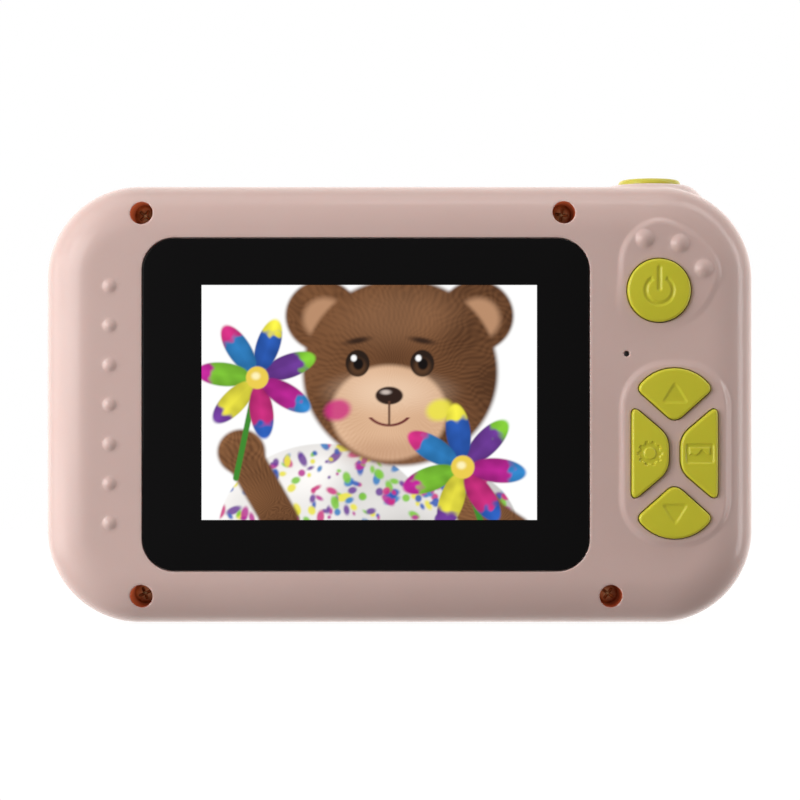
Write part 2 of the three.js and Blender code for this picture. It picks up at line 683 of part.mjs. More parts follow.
function lensBarrel() {
  return cut(bar(BARREL.radius, BARREL.low, BARREL.high, LENS.x, LENS.z, 24), [
    bar(BARREL.bore, BARREL.low - 1, BARREL.high + 1, LENS.x, LENS.z, 20),
  ]);
}

function lensElement() {
  const radius = BARREL.bore - 0.1;
  const rim = BARREL.high - 1.6;
  const inner = radius * 0.6;
  const back = [[0, rim - 0.5], [inner, rim - 0.35], [radius, rim]];
  const front = [[radius, rim + 0.6], [inner, rim + 1.1], [0, rim + 1.3]];
  return turned([...back, ...front], LENS.x, LENS.z, 20);
}

function lensHolder() {
  const { half, high, bore, pocket, pocketHigh } = LENS_HOLDER;
  const foot = MAIN_BOARD.y + MAIN_BOARD.thick + GAP;
  return cut(block([-half, half], [foot, high], [-half, half]), [
    block([-pocket, pocket], [foot - 1, pocketHigh], [-pocket, pocket]),
    bar(bore, pocketHigh - 1, high + 1, LENS.x, LENS.z, 24),
  ]);
}

function imageSensor() {
  const { half, tall } = SENSOR;
  return onBoard([-half, half], [-half, half], tall);
}

function flashWindow() {
  const { x, z, window } = FLASH;
  const low = FRONT_INSIDE + FIT;
  const crown = [[window, FRONT - 0.1], [window * 0.6, FRONT + 0.25], [0, FRONT + 0.35]];
  return turned([[0, low], [window, low], ...crown], x, z, 20);
}

function flashLed() {
  const { x, z, led, flange, foot, pitch } = FLASH;
  const crown = [[led, foot + 4], [led * 0.7, foot + 5.8], [0, foot + 6.5]];
  const profile = [[0, foot], [flange, foot], [flange, foot + 1], [led, foot + 1], ...crown];
  const legEnd = MAIN_BOARD.y + MAIN_BOARD.thick + GAP;
  const legs = [-pitch / 2, pitch / 2].map((side) => bar(0.3, legEnd, foot + 0.2, x + side, z, 8));
  return joined([turned(profile, x, z, 16), ...legs]);
}

function battery() {
  const foot = MAIN_BOARD.y + MAIN_BOARD.thick + 2 * FIT;
  return slab(plateOutline(BATTERY), foot, foot + BATTERY.thick, { steps: 3, rimWidth: 0.8, rimDepth: 0.8 });
}

function speaker() {
  const { x, z, radius, thick } = SPEAKER;
  const high = FRONT_INSIDE - 0.3;
  const low = high - thick;
  const step = high - thick * 0.6;
  const magnet = radius * 0.55;
  const cone = [[radius * 0.8, high], [radius * 0.6, high - 0.8], [0, high - 0.5]];
  const profile = [[0, low], [magnet, low], [magnet, step], [radius, step], [radius, high], ...cone];
  return turned(profile, x, z, 24);
}

// ---- The assembly ----

const assembly = new THREE.Group();
const pieces = new THREE.Group();
pieces.position.z = TOP;
assembly.add(pieces);

function place(name, solid, look) {
  const [color, roughness, metalness] = LOOKS[look];
  const material = new THREE.MeshStandardMaterial({ color, roughness, metalness });
  const mesh = new THREE.Mesh(toGeometry(solid), material);
  mesh.name = name;
  pieces.add(mesh);
}

const whole = caseSolid();
place('rear_cover', rearCover(whole), 'shell');
place('front_housing', frontHousing(whole), 'shell');

place('display_window', displayWindow(), 'blackGlass');
place('lcd_panel', lcdLayer(PANEL_Y, LCD.panel), 'blackGlass');
place('lcd_backlight', lcdLayer(BACKLIGHT_Y, LCD.backlight), 'white');
place('lcd_holder', lcdHolder(), 'black');
place('lcd_flex', lcdFlex(), 'film');
place('lcd_connector', lcdConnector(), 'white');

place('power_button', key('power_button', POWER.proud), 'key');
for (const name of ['up_key', 'down_key', 'settings_key', 'playback_key']) {
  place(name, key(name, NAV.proud), 'key');
}
for (const [name, [x, z]] of Object.entries(SWITCH_PLACES)) {
  place(`${name}_switch`, tactSwitch(x, z, KEY_BOARD.y - GAP), 'black');
  place(`${name}_plunger`, plunger(x, z, KEY_BOARD.y - GAP), 'white');
}
place('key_board', board(KEY_BOARD, KEY_BOARD_POSTS), 'board');
place('microphone', microphone(), 'steel');

place('shutter_button', shutterCap(), 'key');
place('shutter_switch', shutterSwitch(), 'black');
place('shutter_plunger', shutterPlunger(), 'white');
place('shutter_board', shutterBoard(), 'board');

place('main_board', board(MAIN_BOARD, MAIN_BOARD_POSTS), 'board');
place('processor_chip', processorChip(), 'black');
place('usb_connector', usbConnector(), 'steel');
place('memory_card_socket', memoryCardSocket(), 'steel');
place('port_cover', portCover(), 'silicone');
place('port_cover_pin', portCoverPin(), 'steel');

place('lens_ring', lensRing(), 'key');
place('lens_window', lensWindow(), 'clear');
place('lens_baffle', lensBaffle(), 'black');
place('lens_barrel', lensBarrel(), 'black');
place('lens_element', lensElement(), 'clear');
place('lens_holder', lensHolder(), 'black');
place('image_sensor', imageSensor(), 'black');
place('flash_window', flashWindow(), 'clear');
place('flash_led', flashLed(), 'white');
place('battery', battery(), 'foil');
place('speaker', speaker(), 'black');

CASE_SCREWS.forEach(([x, z], i) => {
  const seat = REAR + CASE_SCREW.depth;
  place(`case_screw_${i + 1}`, screw(CASE_SCREW, CASE_SCREW.length, x, z, seat, 1), 'bronze');
});
KEY_BOARD_POSTS.forEach(([x, z], i) => {
  const seat = KEY_BOARD.y + KEY_BOARD.thick;
  place(`key_board_screw_${i + 1}`, screw(BOARD_SCREW, BOARD_SCREW.short, x, z, seat, -1), 'steel');
});
MAIN_BOARD_POSTS.forEach(([x, z], i) => {
  place(`main_board_screw_${i + 1}`, screw(BOARD_SCREW, BOARD_SCREW.long, x, z, MAIN_BOARD.y, 1), 'steel');
});

export default assembly;
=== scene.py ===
"""A children's digital camera: fine surfaces, materials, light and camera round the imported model.

Lengths are in millimetres about the middle of the case, in the part's own axes (+X towards the keys,
+Z up, screen towards -Y), until new_object() moves them to metres in the row frame.
"""

import math

import bmesh
import bpy
import numpy as np
from mathutils import Matrix, Vector
from mathutils.geometry import delaunay_2d_cdt


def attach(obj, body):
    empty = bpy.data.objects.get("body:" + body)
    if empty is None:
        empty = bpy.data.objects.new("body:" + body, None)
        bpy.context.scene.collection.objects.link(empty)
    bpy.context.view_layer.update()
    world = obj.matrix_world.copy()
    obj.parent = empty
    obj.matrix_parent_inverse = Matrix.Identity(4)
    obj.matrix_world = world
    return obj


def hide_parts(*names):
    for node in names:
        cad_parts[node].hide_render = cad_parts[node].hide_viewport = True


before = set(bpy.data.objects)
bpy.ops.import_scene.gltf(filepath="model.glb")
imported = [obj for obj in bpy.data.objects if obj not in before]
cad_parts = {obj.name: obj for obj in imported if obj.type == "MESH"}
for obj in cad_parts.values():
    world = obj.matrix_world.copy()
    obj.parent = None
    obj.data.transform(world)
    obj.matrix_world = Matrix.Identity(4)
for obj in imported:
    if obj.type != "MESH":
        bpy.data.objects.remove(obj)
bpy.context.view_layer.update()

# ---- Driving dimensions, as in the CAD model ----

MM = 0.001
CASE_W, CASE_H, CASE_D, CORNER = 104.0, 64.3, 24.0, 13.7
WALL, FACE = 1.8, 2.0
PILLOW_W, PILLOW_D = 7.0, 6.0
FACE_OUT = CASE_D / 2
TOP = CASE_H / 2
SEAM, SEAM_GAP = 3.0, 0.1
OUTLINE_STEP = 0.45

WINDOW = dict(x=-4.9, z=0.0, w=64.9, h=48.3, corner=4.65, ledge=1.15, edge=0.15)
PICTURE = dict(x=-4.4, z=0.3, w=48.8, h=34.2, margin=1.2)

SCREWS = [(-37.6, 27.9), (23.95, 28.0), (-37.6, -27.9), (30.8, -27.9)]
BORE, BORE_DEPTH, SEAT, THROUGH, BOSS = 1.65, 7.0, 1.8, 1.0, 2.1

DOT_X, DOT_PITCH, DOT_COUNT, DOT_R, DOT_H = -42.15, 5.75, 7, 1.08, 0.42
TOES = [(35.65, 24.1), (40.75, 23.4), (44.2, 19.75)]
TOE_R, TOE_H = 1.45, 0.65
PAD_H, PAD_SOFT = 0.32, 0.58
NAV_PAD = dict(x=40.05, z=-7.1, w=15.5, h=26.4, corner=6.5)
PAW = [
    (31.6, 12.0, 3.0), (37.6, 10.4, 3.0), (44.0, 13.0, 3.0), (47.1, 19.6, 2.4),
    (43.6, 24.6, 3.0), (37.2, 27.6, 3.2), (32.4, 23.8, 2.8),
]

POWER_X, POWER_Z, POWER_R, POWER_PROUD = 37.7, 16.6, 4.6, 1.0
NAV_X, NAV_Z, NAV_PROUD = 39.95, -7.1, 1.1
FAN = dict(half=5.5, top=12.4, tip=9.3, point=4.4)
SIDE = dict(outer=6.25, inner=0.85, tall=7.1, short=2.5)
KEY_GAP = 0.11
MIC_X, MIC_Z, MIC_R = 33.05, 7.4, 0.42

SHUTTER_X, SHUTTER_R, COLLAR_H, SHUTTER_H = 37.55, 4.65, 0.65, 1.6

LENS_HOLE, FLASH_X, FLASH_Z, FLASH_R = 12.4, -22.0, 17.0, 3.2
SPEAKER_X, SPEAKER_Z, SPEAKER_HOLE = 30.0, -6.0, 0.7
SPEAKER_RINGS = [(0, 1), (3, 6), (6, 12)]

DOOR_Y, DOOR_W, DOOR_HALF, DOOR_T = -2.1, 6.6, 13.2, 1.1


# ---- Loops and distances in a plane ----


def arc_points(cx, cz, radius, start, count):
    angles = start + np.arange(count) / count * (math.pi / 2)
    return np.column_stack([cx + radius * np.cos(angles), cz + radius * np.sin(angles)])


def line_points(a, b, count):
    share = (np.arange(count) / count)[:, None]
    return np.array(a) * (1 - share) + np.array(b) * share


def rounded_rect(cx, cz, w, h, corner, step, like=None):
    """A counter-clockwise loop. like gives the size whose point counts it takes, so that loops match."""
    lw, lh, lc = like or (w, h, corner)
    arc = max(4, math.ceil(lc * math.pi / 2 / step))
    across = max(1, math.ceil((lw - 2 * lc) / step))
    up = max(1, math.ceil((lh - 2 * lc) / step))
    x, z = w / 2 - corner, h / 2 - corner
    quarter = math.pi / 2
    centres = [(cx + x, cz - z), (cx + x, cz + z), (cx - x, cz + z), (cx - x, cz - z)]
    counts = [up, across, up, across]
    loop = []
    for k, (px, pz) in enumerate(centres):
        start = (k - 1) * quarter
        loop.append(arc_points(px, pz, corner, start, arc))
        nx, nz = centres[(k + 1) % 4]
        turn = np.array([math.cos(start + quarter), math.sin(start + quarter)]) * corner
        loop.append(line_points(np.array([px, pz]) + turn, np.array([nx, nz]) + turn, counts[k]))
    return np.vstack(loop)


def case_loop(inset):
    size = (CASE_W, CASE_H, CORNER)
    corner = max(CORNER - inset, 0.02)
    return rounded_rect(0, 0, CASE_W - 2 * inset, CASE_H - 2 * inset, corner, OUTLINE_STEP, size)


def circle(cx, cz, radius, count):
    angles = np.arange(count) / count * 2 * math.pi
    return np.column_stack([cx + radius * np.cos(angles), cz + radius * np.sin(angles)])


def resample(path, step):
    """A closed path's points, respaced evenly about step apart."""
    closed = np.vstack([path, path[:1]])
    lengths = np.hypot(*np.diff(closed, axis=0).T)
    along = np.concatenate([[0], np.cumsum(lengths)])
    count = max(8, round(along[-1] / step))
    places = np.arange(count) / count * along[-1]
    return np.column_stack([np.interp(places, along, closed[:, k]) for k in (0, 1)])


def rounded_path(corners, count):
    """A path through (x, z, radius) corners, each cut back by its radius and curved with count points."""
    path = []
    places = [np.array(c[:2], float) for c in corners]
    for k, (_, _, radius) in enumerate(corners):
        here, before, after = places[k], places[k - 1], places[(k + 1) % len(corners)]
        if radius == 0:
            path.append(here)
            continue
        a = here + (before - here) / np.linalg.norm(before - here) * radius
        b = here + (after - here) / np.linalg.norm(after - here) * radius
        path += [(1 - t) ** 2 * a + 2 * t * (1 - t) * here + t * t * b for t in np.linspace(0, 1, count)]
    return path


def soft_polygon(corners, step):
    """An evenly spaced closed loop through (x, z, radius) corners."""
    return resample(np.array(rounded_path(corners, 24)), step)


def offset_loop(loop, distance):
    """The loop moved outwards by distance; it runs counter-clockwise."""
    along = np.roll(loop, -1, 0) - np.roll(loop, 1, 0)
    along /= np.linalg.norm(along, axis=1)[:, None]
    return loop + distance * np.column_stack([along[:, 1], -along[:, 0]])


def loop_distance(points, loop):
    """Distance from each point to the loop, negative inside it."""
    a = loop
    b = np.roll(loop, -1, 0)
    edge = b - a
    length2 = (edge**2).sum(1)
    out = np.empty(len(points))
    for start in range(0, len(points), 4000):
        p = points[start : start + 4000, None, :]
        rel = p - a
        t = np.clip((rel * edge).sum(2) / length2, 0, 1)
        near = np.sqrt(((rel - t[..., None] * edge) ** 2).sum(2)).min(1)
        above_a = a[:, 1] > p[:, :, 1]
        above_b = b[:, 1] > p[:, :, 1]
        slope = edge[:, 0] / np.where(edge[:, 1] == 0, 1e-12, edge[:, 1])
        crosses = (above_a != above_b) & (p[:, :, 0] < a[:, 0] + (p[:, :, 1] - a[:, 1]) * slope)
        inside = crosses.sum(1) % 2 == 1
        out[start : start + 4000] = np.where(inside, -near, near)
    return out


def rect_distance(points, cx, cz, w, h, corner):
    q = np.abs(points - [cx, cz]) - [w / 2 - corner, h / 2 - corner]
    outside = np.hypot(np.maximum(q[:, 0], 0), np.maximum(q[:, 1], 0))
    return outside + np.minimum(q.max(1), 0) - corner


def segment_distance(points, a, b):
    a, b = np.array(a, float), np.array(b, float)
    rel, edge = points - a, b - a
    t = np.clip(rel @ edge / (edge @ edge), 0, 1)
    return np.linalg.norm(rel - t[:, None] * edge, axis=1)


def smooth(value):
    """0 below 0, 1 above 1 and an S between."""
    t = np.clip(value, 0, 1)
    return t * t * (3 - 2 * t)


def rounding(distance, radius):
    """How far a rounded edge has dropped at this distance in from the edge."""
    rest = radius - np.clip(distance, 0, radius)
    return radius - np.sqrt(radius**2 - rest**2)


def hex_grid(x0, x1, z0, z1, step):
    xs, zs = [], []
    rows = int((z1 - z0) / (step * 0.866)) + 1
    for r in range(rows):
        row = np.arange(x0 + (r % 2) * step / 2, x1, step)
        xs.append(row)
        zs.append(np.full(len(row), z0 + r * step * 0.866))
    return np.column_stack([np.concatenate(xs), np.concatenate(zs)])


def spaced(points, gap):
    """The points, less any that fall in a cell of this size which an earlier one holds."""
    cells = np.floor(points / gap).astype(int)
    _, first = np.unique(cells, axis=0, return_index=True)
    return points[np.sort(first)]


def clear_of(points, loops, gap):
    for loop in loops:
        points = points[loop_distance(points, loop) > gap]
    return points


# ---- Building closed meshes ----


class Solid:
    """Points in millimetres and faces, each face with the number of its material."""

    def __init__(self):
        self.points = []
        self.faces = []
        self.finish = []

    def ring(self, xyz):
        start = len(self.points)
        self.points.extend(map(tuple, xyz))
        return list(range(start, start + len(xyz)))

    def placed_ring(self, loop, place, h):
        """A ring of the loop's points, which place puts in space at height h."""
        return self.ring([place(u, v, h) for u, v in loop])

    def face(self, corners, finish=0):
        """A face, in which a corner given twice counts once."""
        self.faces.append(tuple(dict.fromkeys(corners)))
        self.finish.append(finish)

    def strip(self, a, b, finish=0):
        for i in range(len(a)):
            j = (i + 1) % len(a)
            self.face((a[i], a[j], b[j], b[i]), finish)

    def tube(self, rings):
        """Strips from each ring to the next. Returns the last ring."""
        for a, b in zip(rings, rings[1:]):
            self.strip(a, b)
        return rings[-1]

    def patch(self, faces, index):
        for face in faces:
            self.face(index[i] for i in face)


def triangulate(loops, extra):
    """Triangles between the first loop and the others, which are holes, all of them convex."""
    points = np.vstack([*loops, extra]) if len(extra) else np.vstack(loops)
    owner = np.full(len(points), -1)
    edges = []
    start = 0
    for k, loop in enumerate(loops):
        count = len(loop)
        edges += [(start + i, start + (i + 1) % count) for i in range(count)]
        owner[start : start + count] = k
        start += count
    made = delaunay_2d_cdt([Vector(p) for p in points], edges, [], 0, 1e-6)
    origin = [o[0] if o else -1 for o in made[3]]
    triangles = []
    for face in made[2]:
        t = [origin[v] for v in face]
        k = owner[t[0]]
        in_hole = k > 0 and owner[t[1]] == k and owner[t[2]] == k
        if not in_hole and min(t) >= 0:
            triangles.append(t)
    return points, triangles


def new_object(name, solid, materials=()):
    """The solid as an object in metres in the row frame, its faces turned outwards."""
    mesh = bpy.data.meshes.new(name)
    points = np.array(solid.points) + [0, 0, TOP]
    mesh.from_pydata((points * MM).tolist(), [], solid.faces)
    mesh.polygons.foreach_set("material_index", solid.finish)
    for material in materials:
        mesh.materials.append(material)
    bm = bmesh.new()
    bm.from_mesh(mesh)
    bmesh.ops.recalc_face_normals(bm, faces=bm.faces)
    bm.to_mesh(mesh)
    bm.free()
    obj = bpy.data.objects.new(name, mesh)
    bpy.context.scene.collection.objects.link(obj)
    return obj


def shade_smooth(mesh):
    """Smooth shading, with hard edges where faces meet at more than 35 degrees."""
    mesh.polygons.foreach_set("use_smooth", [True] * len(mesh.polygons))
    mesh.set_sharp_from_angle(angle=math.radians(35))


def mesh_object(name, solid, materials, body, replaces):
    obj = new_object(name, solid, materials)
    shade_smooth(obj.data)
    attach(obj, body)
    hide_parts(*replaces)
    return obj


def fine_piece(node, solid, look, body="root"):
    """The fine shape of one CAD node, in one material."""
    return mesh_object(f"{node}_fine", solid, [MAT[look]], body, [node])


def cut_away(obj, solids):
    """Cuts closed solids out of obj."""
    cutters = [new_object("cutter", solid) for solid in solids]
    for cutter in cutters:
        boolean = obj.modifiers.new("cut", "BOOLEAN")
        boolean.operation = "DIFFERENCE"
        boolean.solver = "MANIFOLD"
        boolean.object = cutter
    depsgraph = bpy.context.evaluated_depsgraph_get()
    done = bpy.data.meshes.new_from_object(obj.evaluated_get(depsgraph))
    old = obj.data
    obj.modifiers.clear()
    obj.data = done
    bpy.data.meshes.remove(old)
    shade_smooth(done)
    for cutter in cutters:
        bpy.data.meshes.remove(cutter.data)


def turned(profile, place, sides=64):
    """A closed turned solid. profile runs from the axis back to the axis, or closes on itself; place
    turns (across, across, along) into x, y, z."""
    solid = Solid()
    around = circle(0, 0, 1, sides)
    rings = []
    for radius, along in profile:
        if radius == 0:
            rings.append(solid.ring([place(0, 0, along)]) * sides)
        else:
            rings.append(solid.placed_ring(radius * around, place, along))
    if profile[0][0] != 0:
        rings.append(rings[0])
    solid.tube(rings)
    return solid


def along_y(x, z):
    return lambda a, b, h: (x + a, h, z + b)


def along_z(x, y):
    return lambda a, b, h: (x + a, y + b, h)


# ---- Materials ----


def new_material(name, base, roughness, **sockets):
    material = bpy.data.materials.new(name)
    material.use_nodes = True
    shader = material.node_tree.nodes["Principled BSDF"]
    shader.inputs["Base Color"].default_value = (*base, 1)
    shader.inputs["Roughness"].default_value = roughness
    for socket, value in sockets.items():
        shader.inputs[socket.replace("_", " ")].default_value = value
    return material, material.node_tree, shader


def add_node(tree, kind, **values):
    """A new shader node with these socket values; an underscore in a name stands for a space."""
    node = tree.nodes.new(f"ShaderNode{kind}")
    for socket, value in values.items():
        node.inputs[socket.replace("_", " ")].default_value = value
    return node


def map_range(tree, source, start, end, low, high, interpolation="LINEAR"):
    """The source's range from start to end, mapped to the range from low to high."""
    mapped = add_node(tree, "MapRange", From_Min=start, From_Max=end, To_Min=low, To_Max=high)
    mapped.interpolation_type = interpolation
    tree.links.new(source, mapped.inputs["Value"])
    return mapped.outputs["Result"]


def noise(tree, scale, detail=3.0):
    texture = add_node(tree, "TexNoise", Scale=scale, Detail=detail)
    tree.links.new(add_node(tree, "TexCoord").outputs["Object"], texture.inputs["Vector"])
    return texture.outputs["Fac"]


def mottle(tree, shader, base, other, scale):
    """A faint drift between two near colours, as in moulded plastic."""
    ramp = add_node(tree, "ValToRGB")
    for stop, position, colour in zip(ramp.color_ramp.elements, (0.35, 0.65), (base, other)):
        stop.position = position
        stop.color = (*colour, 1)
    tree.links.new(noise(tree, scale, 4), ramp.inputs["Fac"])
    tree.links.new(ramp.outputs["Color"], shader.inputs["Base Color"])


def vary_roughness(tree, shader, scale, low, high):
    tree.links.new(map_range(tree, noise(tree, scale), 0.3, 0.7, low, high), shader.inputs["Roughness"])


def grain(tree, shader, scale, strength, distance):
    bump = add_node(tree, "Bump", Strength=strength, Distance=distance)
    tree.links.new(noise(tree, scale, 2), bump.inputs["Height"])
    tree.links.new(bump.outputs["Normal"], shader.inputs["Normal"])


def surface(name, base, other, drift, roughness, rough=None, bump=None, **sockets):
    """A material that drifts between two near colours at the scale drift. rough holds the scale and
    the limits of its roughness, and bump the scale, strength and height of its grain."""
    material, tree, shader = new_material(name, base, roughness, **sockets)
    mottle(tree, shader, base, other, drift)
    if rough:
        vary_roughness(tree, shader, *rough)
    if bump:
        grain(tree, shader, *bump)
    return material


def shell_plastic():
    """Soft pink plastic under the thin glossy skin of a moulding."""
    return surface(
        "pink_shell_plastic", (0.66, 0.475, 0.432), (0.64, 0.457, 0.415), 60, 0.5,
        rough=(350, 0.44, 0.54), bump=(2600, 0.05, 0.00002),
        Subsurface_Weight=0.15, Subsurface_Scale=0.0012, Subsurface_Radius=(1.0, 0.4, 0.3),
        Specular_IOR_Level=0.3, Coat_Weight=0.7, Coat_Roughness=0.19,
    )


def painted_glow_bore():
    """The deep screw bores. Their red base colour and an emitted glow are painted light: they stand in
    for light from the upper left that comes reddened through the wall. The glow is strongest on the
    side towards that light, and fades towards the bottom of the bore."""
    base = (0.42, 0.09, 0.03)
    material, tree, shader = new_material(
        "bore_painted_glow", base, 0.35, Emission_Color=(0.55, 0.115, 0.04, 1),
    )
    mottle(tree, shader, base, (0.34, 0.06, 0.02), 900)
    geometry = add_node(tree, "NewGeometry")
    facing = add_node(tree, "VectorMath")
    facing.operation = "DOT_PRODUCT"
    facing.inputs[1].default_value = (0.8, 0, -0.6)
    tree.links.new(geometry.outputs["Normal"], facing.inputs[0])
    split = add_node(tree, "SeparateXYZ")
    tree.links.new(geometry.outputs["Position"], split.inputs["Vector"])
    mouth, bottom = -(FACE_OUT - 0.6) * MM, -(FACE_OUT - BORE_DEPTH) * MM
    product = add_node(tree, "Math")
    product.operation = "MULTIPLY"
    glow = map_range(tree, facing.outputs["Value"], -0.9, 1.0, 0.10, 0.55)
    depth = map_range(tree, split.outputs["Y"], mouth, bottom, 1.0, 0.35)
    tree.links.new(glow, product.inputs[0])
    tree.links.new(depth, product.inputs[1])
    tree.links.new(product.outputs["Value"], shader.inputs["Emission Strength"])
    return material


def painted_shade_gap():
    """The walls of the key holes, in painted shade: a dark brown that stands in for the shade of the
    narrow gaps, warmed with painted light from the translucent keys close beside them.
    """
    dark, darker = (0.10, 0.038, 0.006), (0.08, 0.03, 0.005)
    return surface("key_gap_painted_shade", dark, darker, 300, 0.7, Specular_IOR_Level=0.05)


def key_plastic(name, base, other):
    return surface(
        name, base, other, 120, 0.45, rough=(500, 0.4, 0.5), bump=(3000, 0.05, 0.00002),
        Subsurface_Weight=0.1, Subsurface_Scale=0.0006, Specular_IOR_Level=0.3,
        Coat_Weight=0.4, Coat_Roughness=0.2,
    )


def black_glass():
    material, tree, shader = new_material(
        "black_window", (0.0035, 0.0035, 0.0038), 0.06, Specular_IOR_Level=0.15,
    )
    vary_roughness(tree, shader, 300, 0.04, 0.09)
    return material


def soft_black():
    return surface(
        "matt_black_plastic", (0.012, 0.012, 0.013), (0.018, 0.018, 0.019), 300, 0.5,
        rough=(900, 0.42, 0.6), bump=(2500, 0.1, 0.00002),
    )


def white_plastic():
    light, darker = (0.75, 0.75, 0.71), (0.71, 0.71, 0.66)
    return surface("white_plastic", light, darker, 200, 0.45, bump=(2500, 0.06, 0.00002))


def metal(name, base, other, roughness):
    return surface(
        name, base, other, 700, roughness, rough=(1200, roughness - 0.1, roughness + 0.12),
        bump=(4000, 0.15, 0.00002), Metallic=1.0,
    )


def circuit_board():
    """Green solder mask with faint copper tracks showing through."""
    material, tree, shader = new_material("circuit_board", (0.01, 0.11, 0.05), 0.35)
    brick = add_node(
        tree, "TexBrick", Scale=260, Mortar_Size=0.035, Color1=(0.008, 0.10, 0.045, 1),
        Color2=(0.010, 0.13, 0.060, 1), Mortar=(0.03, 0.22, 0.10, 1),
    )
    turn = add_node(tree, "Mapping", Rotation=(math.pi / 2, 0, 0))
    tree.links.new(add_node(tree, "TexCoord").outputs["Object"], turn.inputs["Vector"])
    tree.links.new(turn.outputs["Vector"], brick.inputs["Vector"])
    tree.links.new(brick.outputs["Color"], shader.inputs["Base Color"])
    return material


def amber_film():
    return surface("amber_film", (0.42, 0.15, 0.02), (0.36, 0.12, 0.015), 400, 0.3)


def pouch_foil():
    grey, darker = (0.42, 0.45, 0.50), (0.38, 0.41, 0.46)
    return surface("battery_pouch", grey, darker, 150, 0.4, bump=(500, 0.2, 0.0001), Metallic=0.35)


def rubber():
    return surface(
        "pink_rubber", (0.52, 0.30, 0.262), (0.49, 0.28, 0.245), 90, 0.62,
        rough=(400, 0.56, 0.7), bump=(2200, 0.12, 0.00003), Specular_IOR_Level=0.35,
    )


def clear_glass():
    material, tree, shader = new_material(
        "clear_cover", (0.97, 0.98, 1.0), 0.02, Transmission_Weight=1.0, IOR=1.45,
    )
    vary_roughness(tree, shader, 200, 0.0, 0.03)
    return material


def coated_glass():
    """The front element, with the violet and green sheen of its coating."""
    violet, green = (0.02, 0.012, 0.05), (0.008, 0.03, 0.03)
    return surface(
        "coated_lens", violet, green, 250, 0.03, IOR=1.6, Coat_Weight=1.0, Coat_Roughness=0.02,
    )


MAT = {
    "shell": shell_plastic(),
    # bore: painted light, a red colour and a painted glow in the screw bores
    "bore": painted_glow_bore(),
    # gap: painted shade, with painted warm light, on the walls of the key holes
    "gap": painted_shade_gap(),
    "key": key_plastic("lime_key_plastic", (0.635, 0.592, 0.030), (0.605, 0.567, 0.027)),
    # cap: the keys' lime plastic made paler, painted light on the shutter button at the top of the case
    "cap": key_plastic("lime_plastic_painted_paler", (0.66, 0.598, 0.065), (0.64, 0.58, 0.06)),
    "window": black_glass(),
    "black": soft_black(),
    "white": white_plastic(),
    "steel": metal("plated_steel", (0.52, 0.52, 0.54), (0.45, 0.45, 0.46), 0.3),
    # bronze: bronze-toned steel lightened and mottled bright as painted light, so the heads look lit deep in
    # the bores
    "bronze": metal("screw_steel_painted_light", (0.80, 0.70, 0.42), (0.34, 0.23, 0.11), 0.4),
    "board": circuit_board(),
    "film": amber_film(),
    "foil": pouch_foil(),
    "rubber": rubber(),
    "clear": clear_glass(),
    "coated": coated_glass(),
}


# ---- Key outlines ----


def fan_loop(up):
    """A fan: a point towards the middle of the pad, and an arc between two soft tips."""
    half, top, tip = FAN["half"], FAN["top"], FAN["tip"]
    radius = (half**2 + (top - tip) ** 2) / (2 * (top - tip))
    reach = math.asin(half / radius)
    angles = np.linspace(1, -1, 13) * reach
    arc = [(radius * math.sin(a), top - radius * (1 - math.cos(a)), 0) for a in angles]
    arc[0] = (*arc[0][:2], 0.95)
    arc[-1] = (*arc[-1][:2], 0.95)
    corners = [(0, FAN["point"], 1.5), *arc]
    placed = [(NAV_X + x, NAV_Z + up * z, r) for x, z, r in corners]
    return soft_polygon(placed if up > 0 else placed[::-1], 0.15)


def side_loop(right):
    outer, inner, tall, short = SIDE["outer"], SIDE["inner"], SIDE["tall"], SIDE["short"]
    corners = [(outer, -tall, 1.7), (outer, tall, 1.7), (inner, short, 1.7), (inner, -short, 1.7)]
    placed = [(NAV_X + right * x, NAV_Z + z, r) for x, z, r in corners]
    return soft_polygon(placed if right > 0 else placed[::-1], 0.15)


def key_loops():
    return {
        "up_key": fan_loop(1),
        "down_key": fan_loop(-1),
        "settings_key": side_loop(-1),
        "playback_key": side_loop(1),
        "power_button": circle(POWER_X, POWER_Z, POWER_R, 160),
    }


# ---- The two shells ----


def pillow(points, inset, width, depth):
    """How far the pillowed edge has dropped at each point, for the outline set in by inset."""
    inside = -rect_distance(points, 0, 0, CASE_W - 2 * inset, CASE_H - 2 * inset, CORNER - inset)
    u = np.clip(1 - inside / width, 0, 1)
    return depth * (1 - np.sqrt(1 - u * u))


def dome_height(points, cx, cz, radius, height):
    r2 = ((points - [cx, cz]) ** 2).sum(1) / radius**2
    return height * np.clip(1 - r2, 0, None) ** 1.25


PAW_LOOP = soft_polygon(PAW, 0.3)


def rear_relief(points):
    """Height over the pillowed face: two flat-topped pads, with the dots and toes standing on them."""
    nav = smooth(0.5 - rect_distance(points, *NAV_PAD.values()) / (2 * PAD_SOFT))
    paw = smooth(0.5 - loop_distance(points, PAW_LOOP) / (2 * PAD_SOFT))
    fade = smooth((points @ [0.5, 1.3] - 31) / 14)
    height = nav * (PAD_H + pillow(points, 0, PILLOW_W, PILLOW_D))
    height += paw * (PAD_H * fade + pillow(points, 0, PILLOW_W, PILLOW_D))
    for x, z in dot_places():
        height += dome_height(points, x, z, DOT_R, DOT_H)
    for x, z in TOES:
        height += dome_height(points, x, z, TOE_R, TOE_H)
    return height


def lip_drop(points, holes, radius):
    drop = np.zeros(len(points))
    for hole in holes:
        low, high = hole.min(0) - radius - 0.1, hole.max(0) + radius + 0.1
        near = ((points > low) & (points < high)).all(1)
        if near.any():
            away = np.maximum(loop_distance(points[near], hole), 0)
            drop[near] = np.maximum(drop[near], rounding(away, radius))
    return drop


def ring_steps(radius, count=5):
    """Distances in from an edge at which a rounding of this radius wants its rings."""
    return [radius * (1 - math.cos(k / count * math.pi / 2)) for k in range(1, count + 1)]


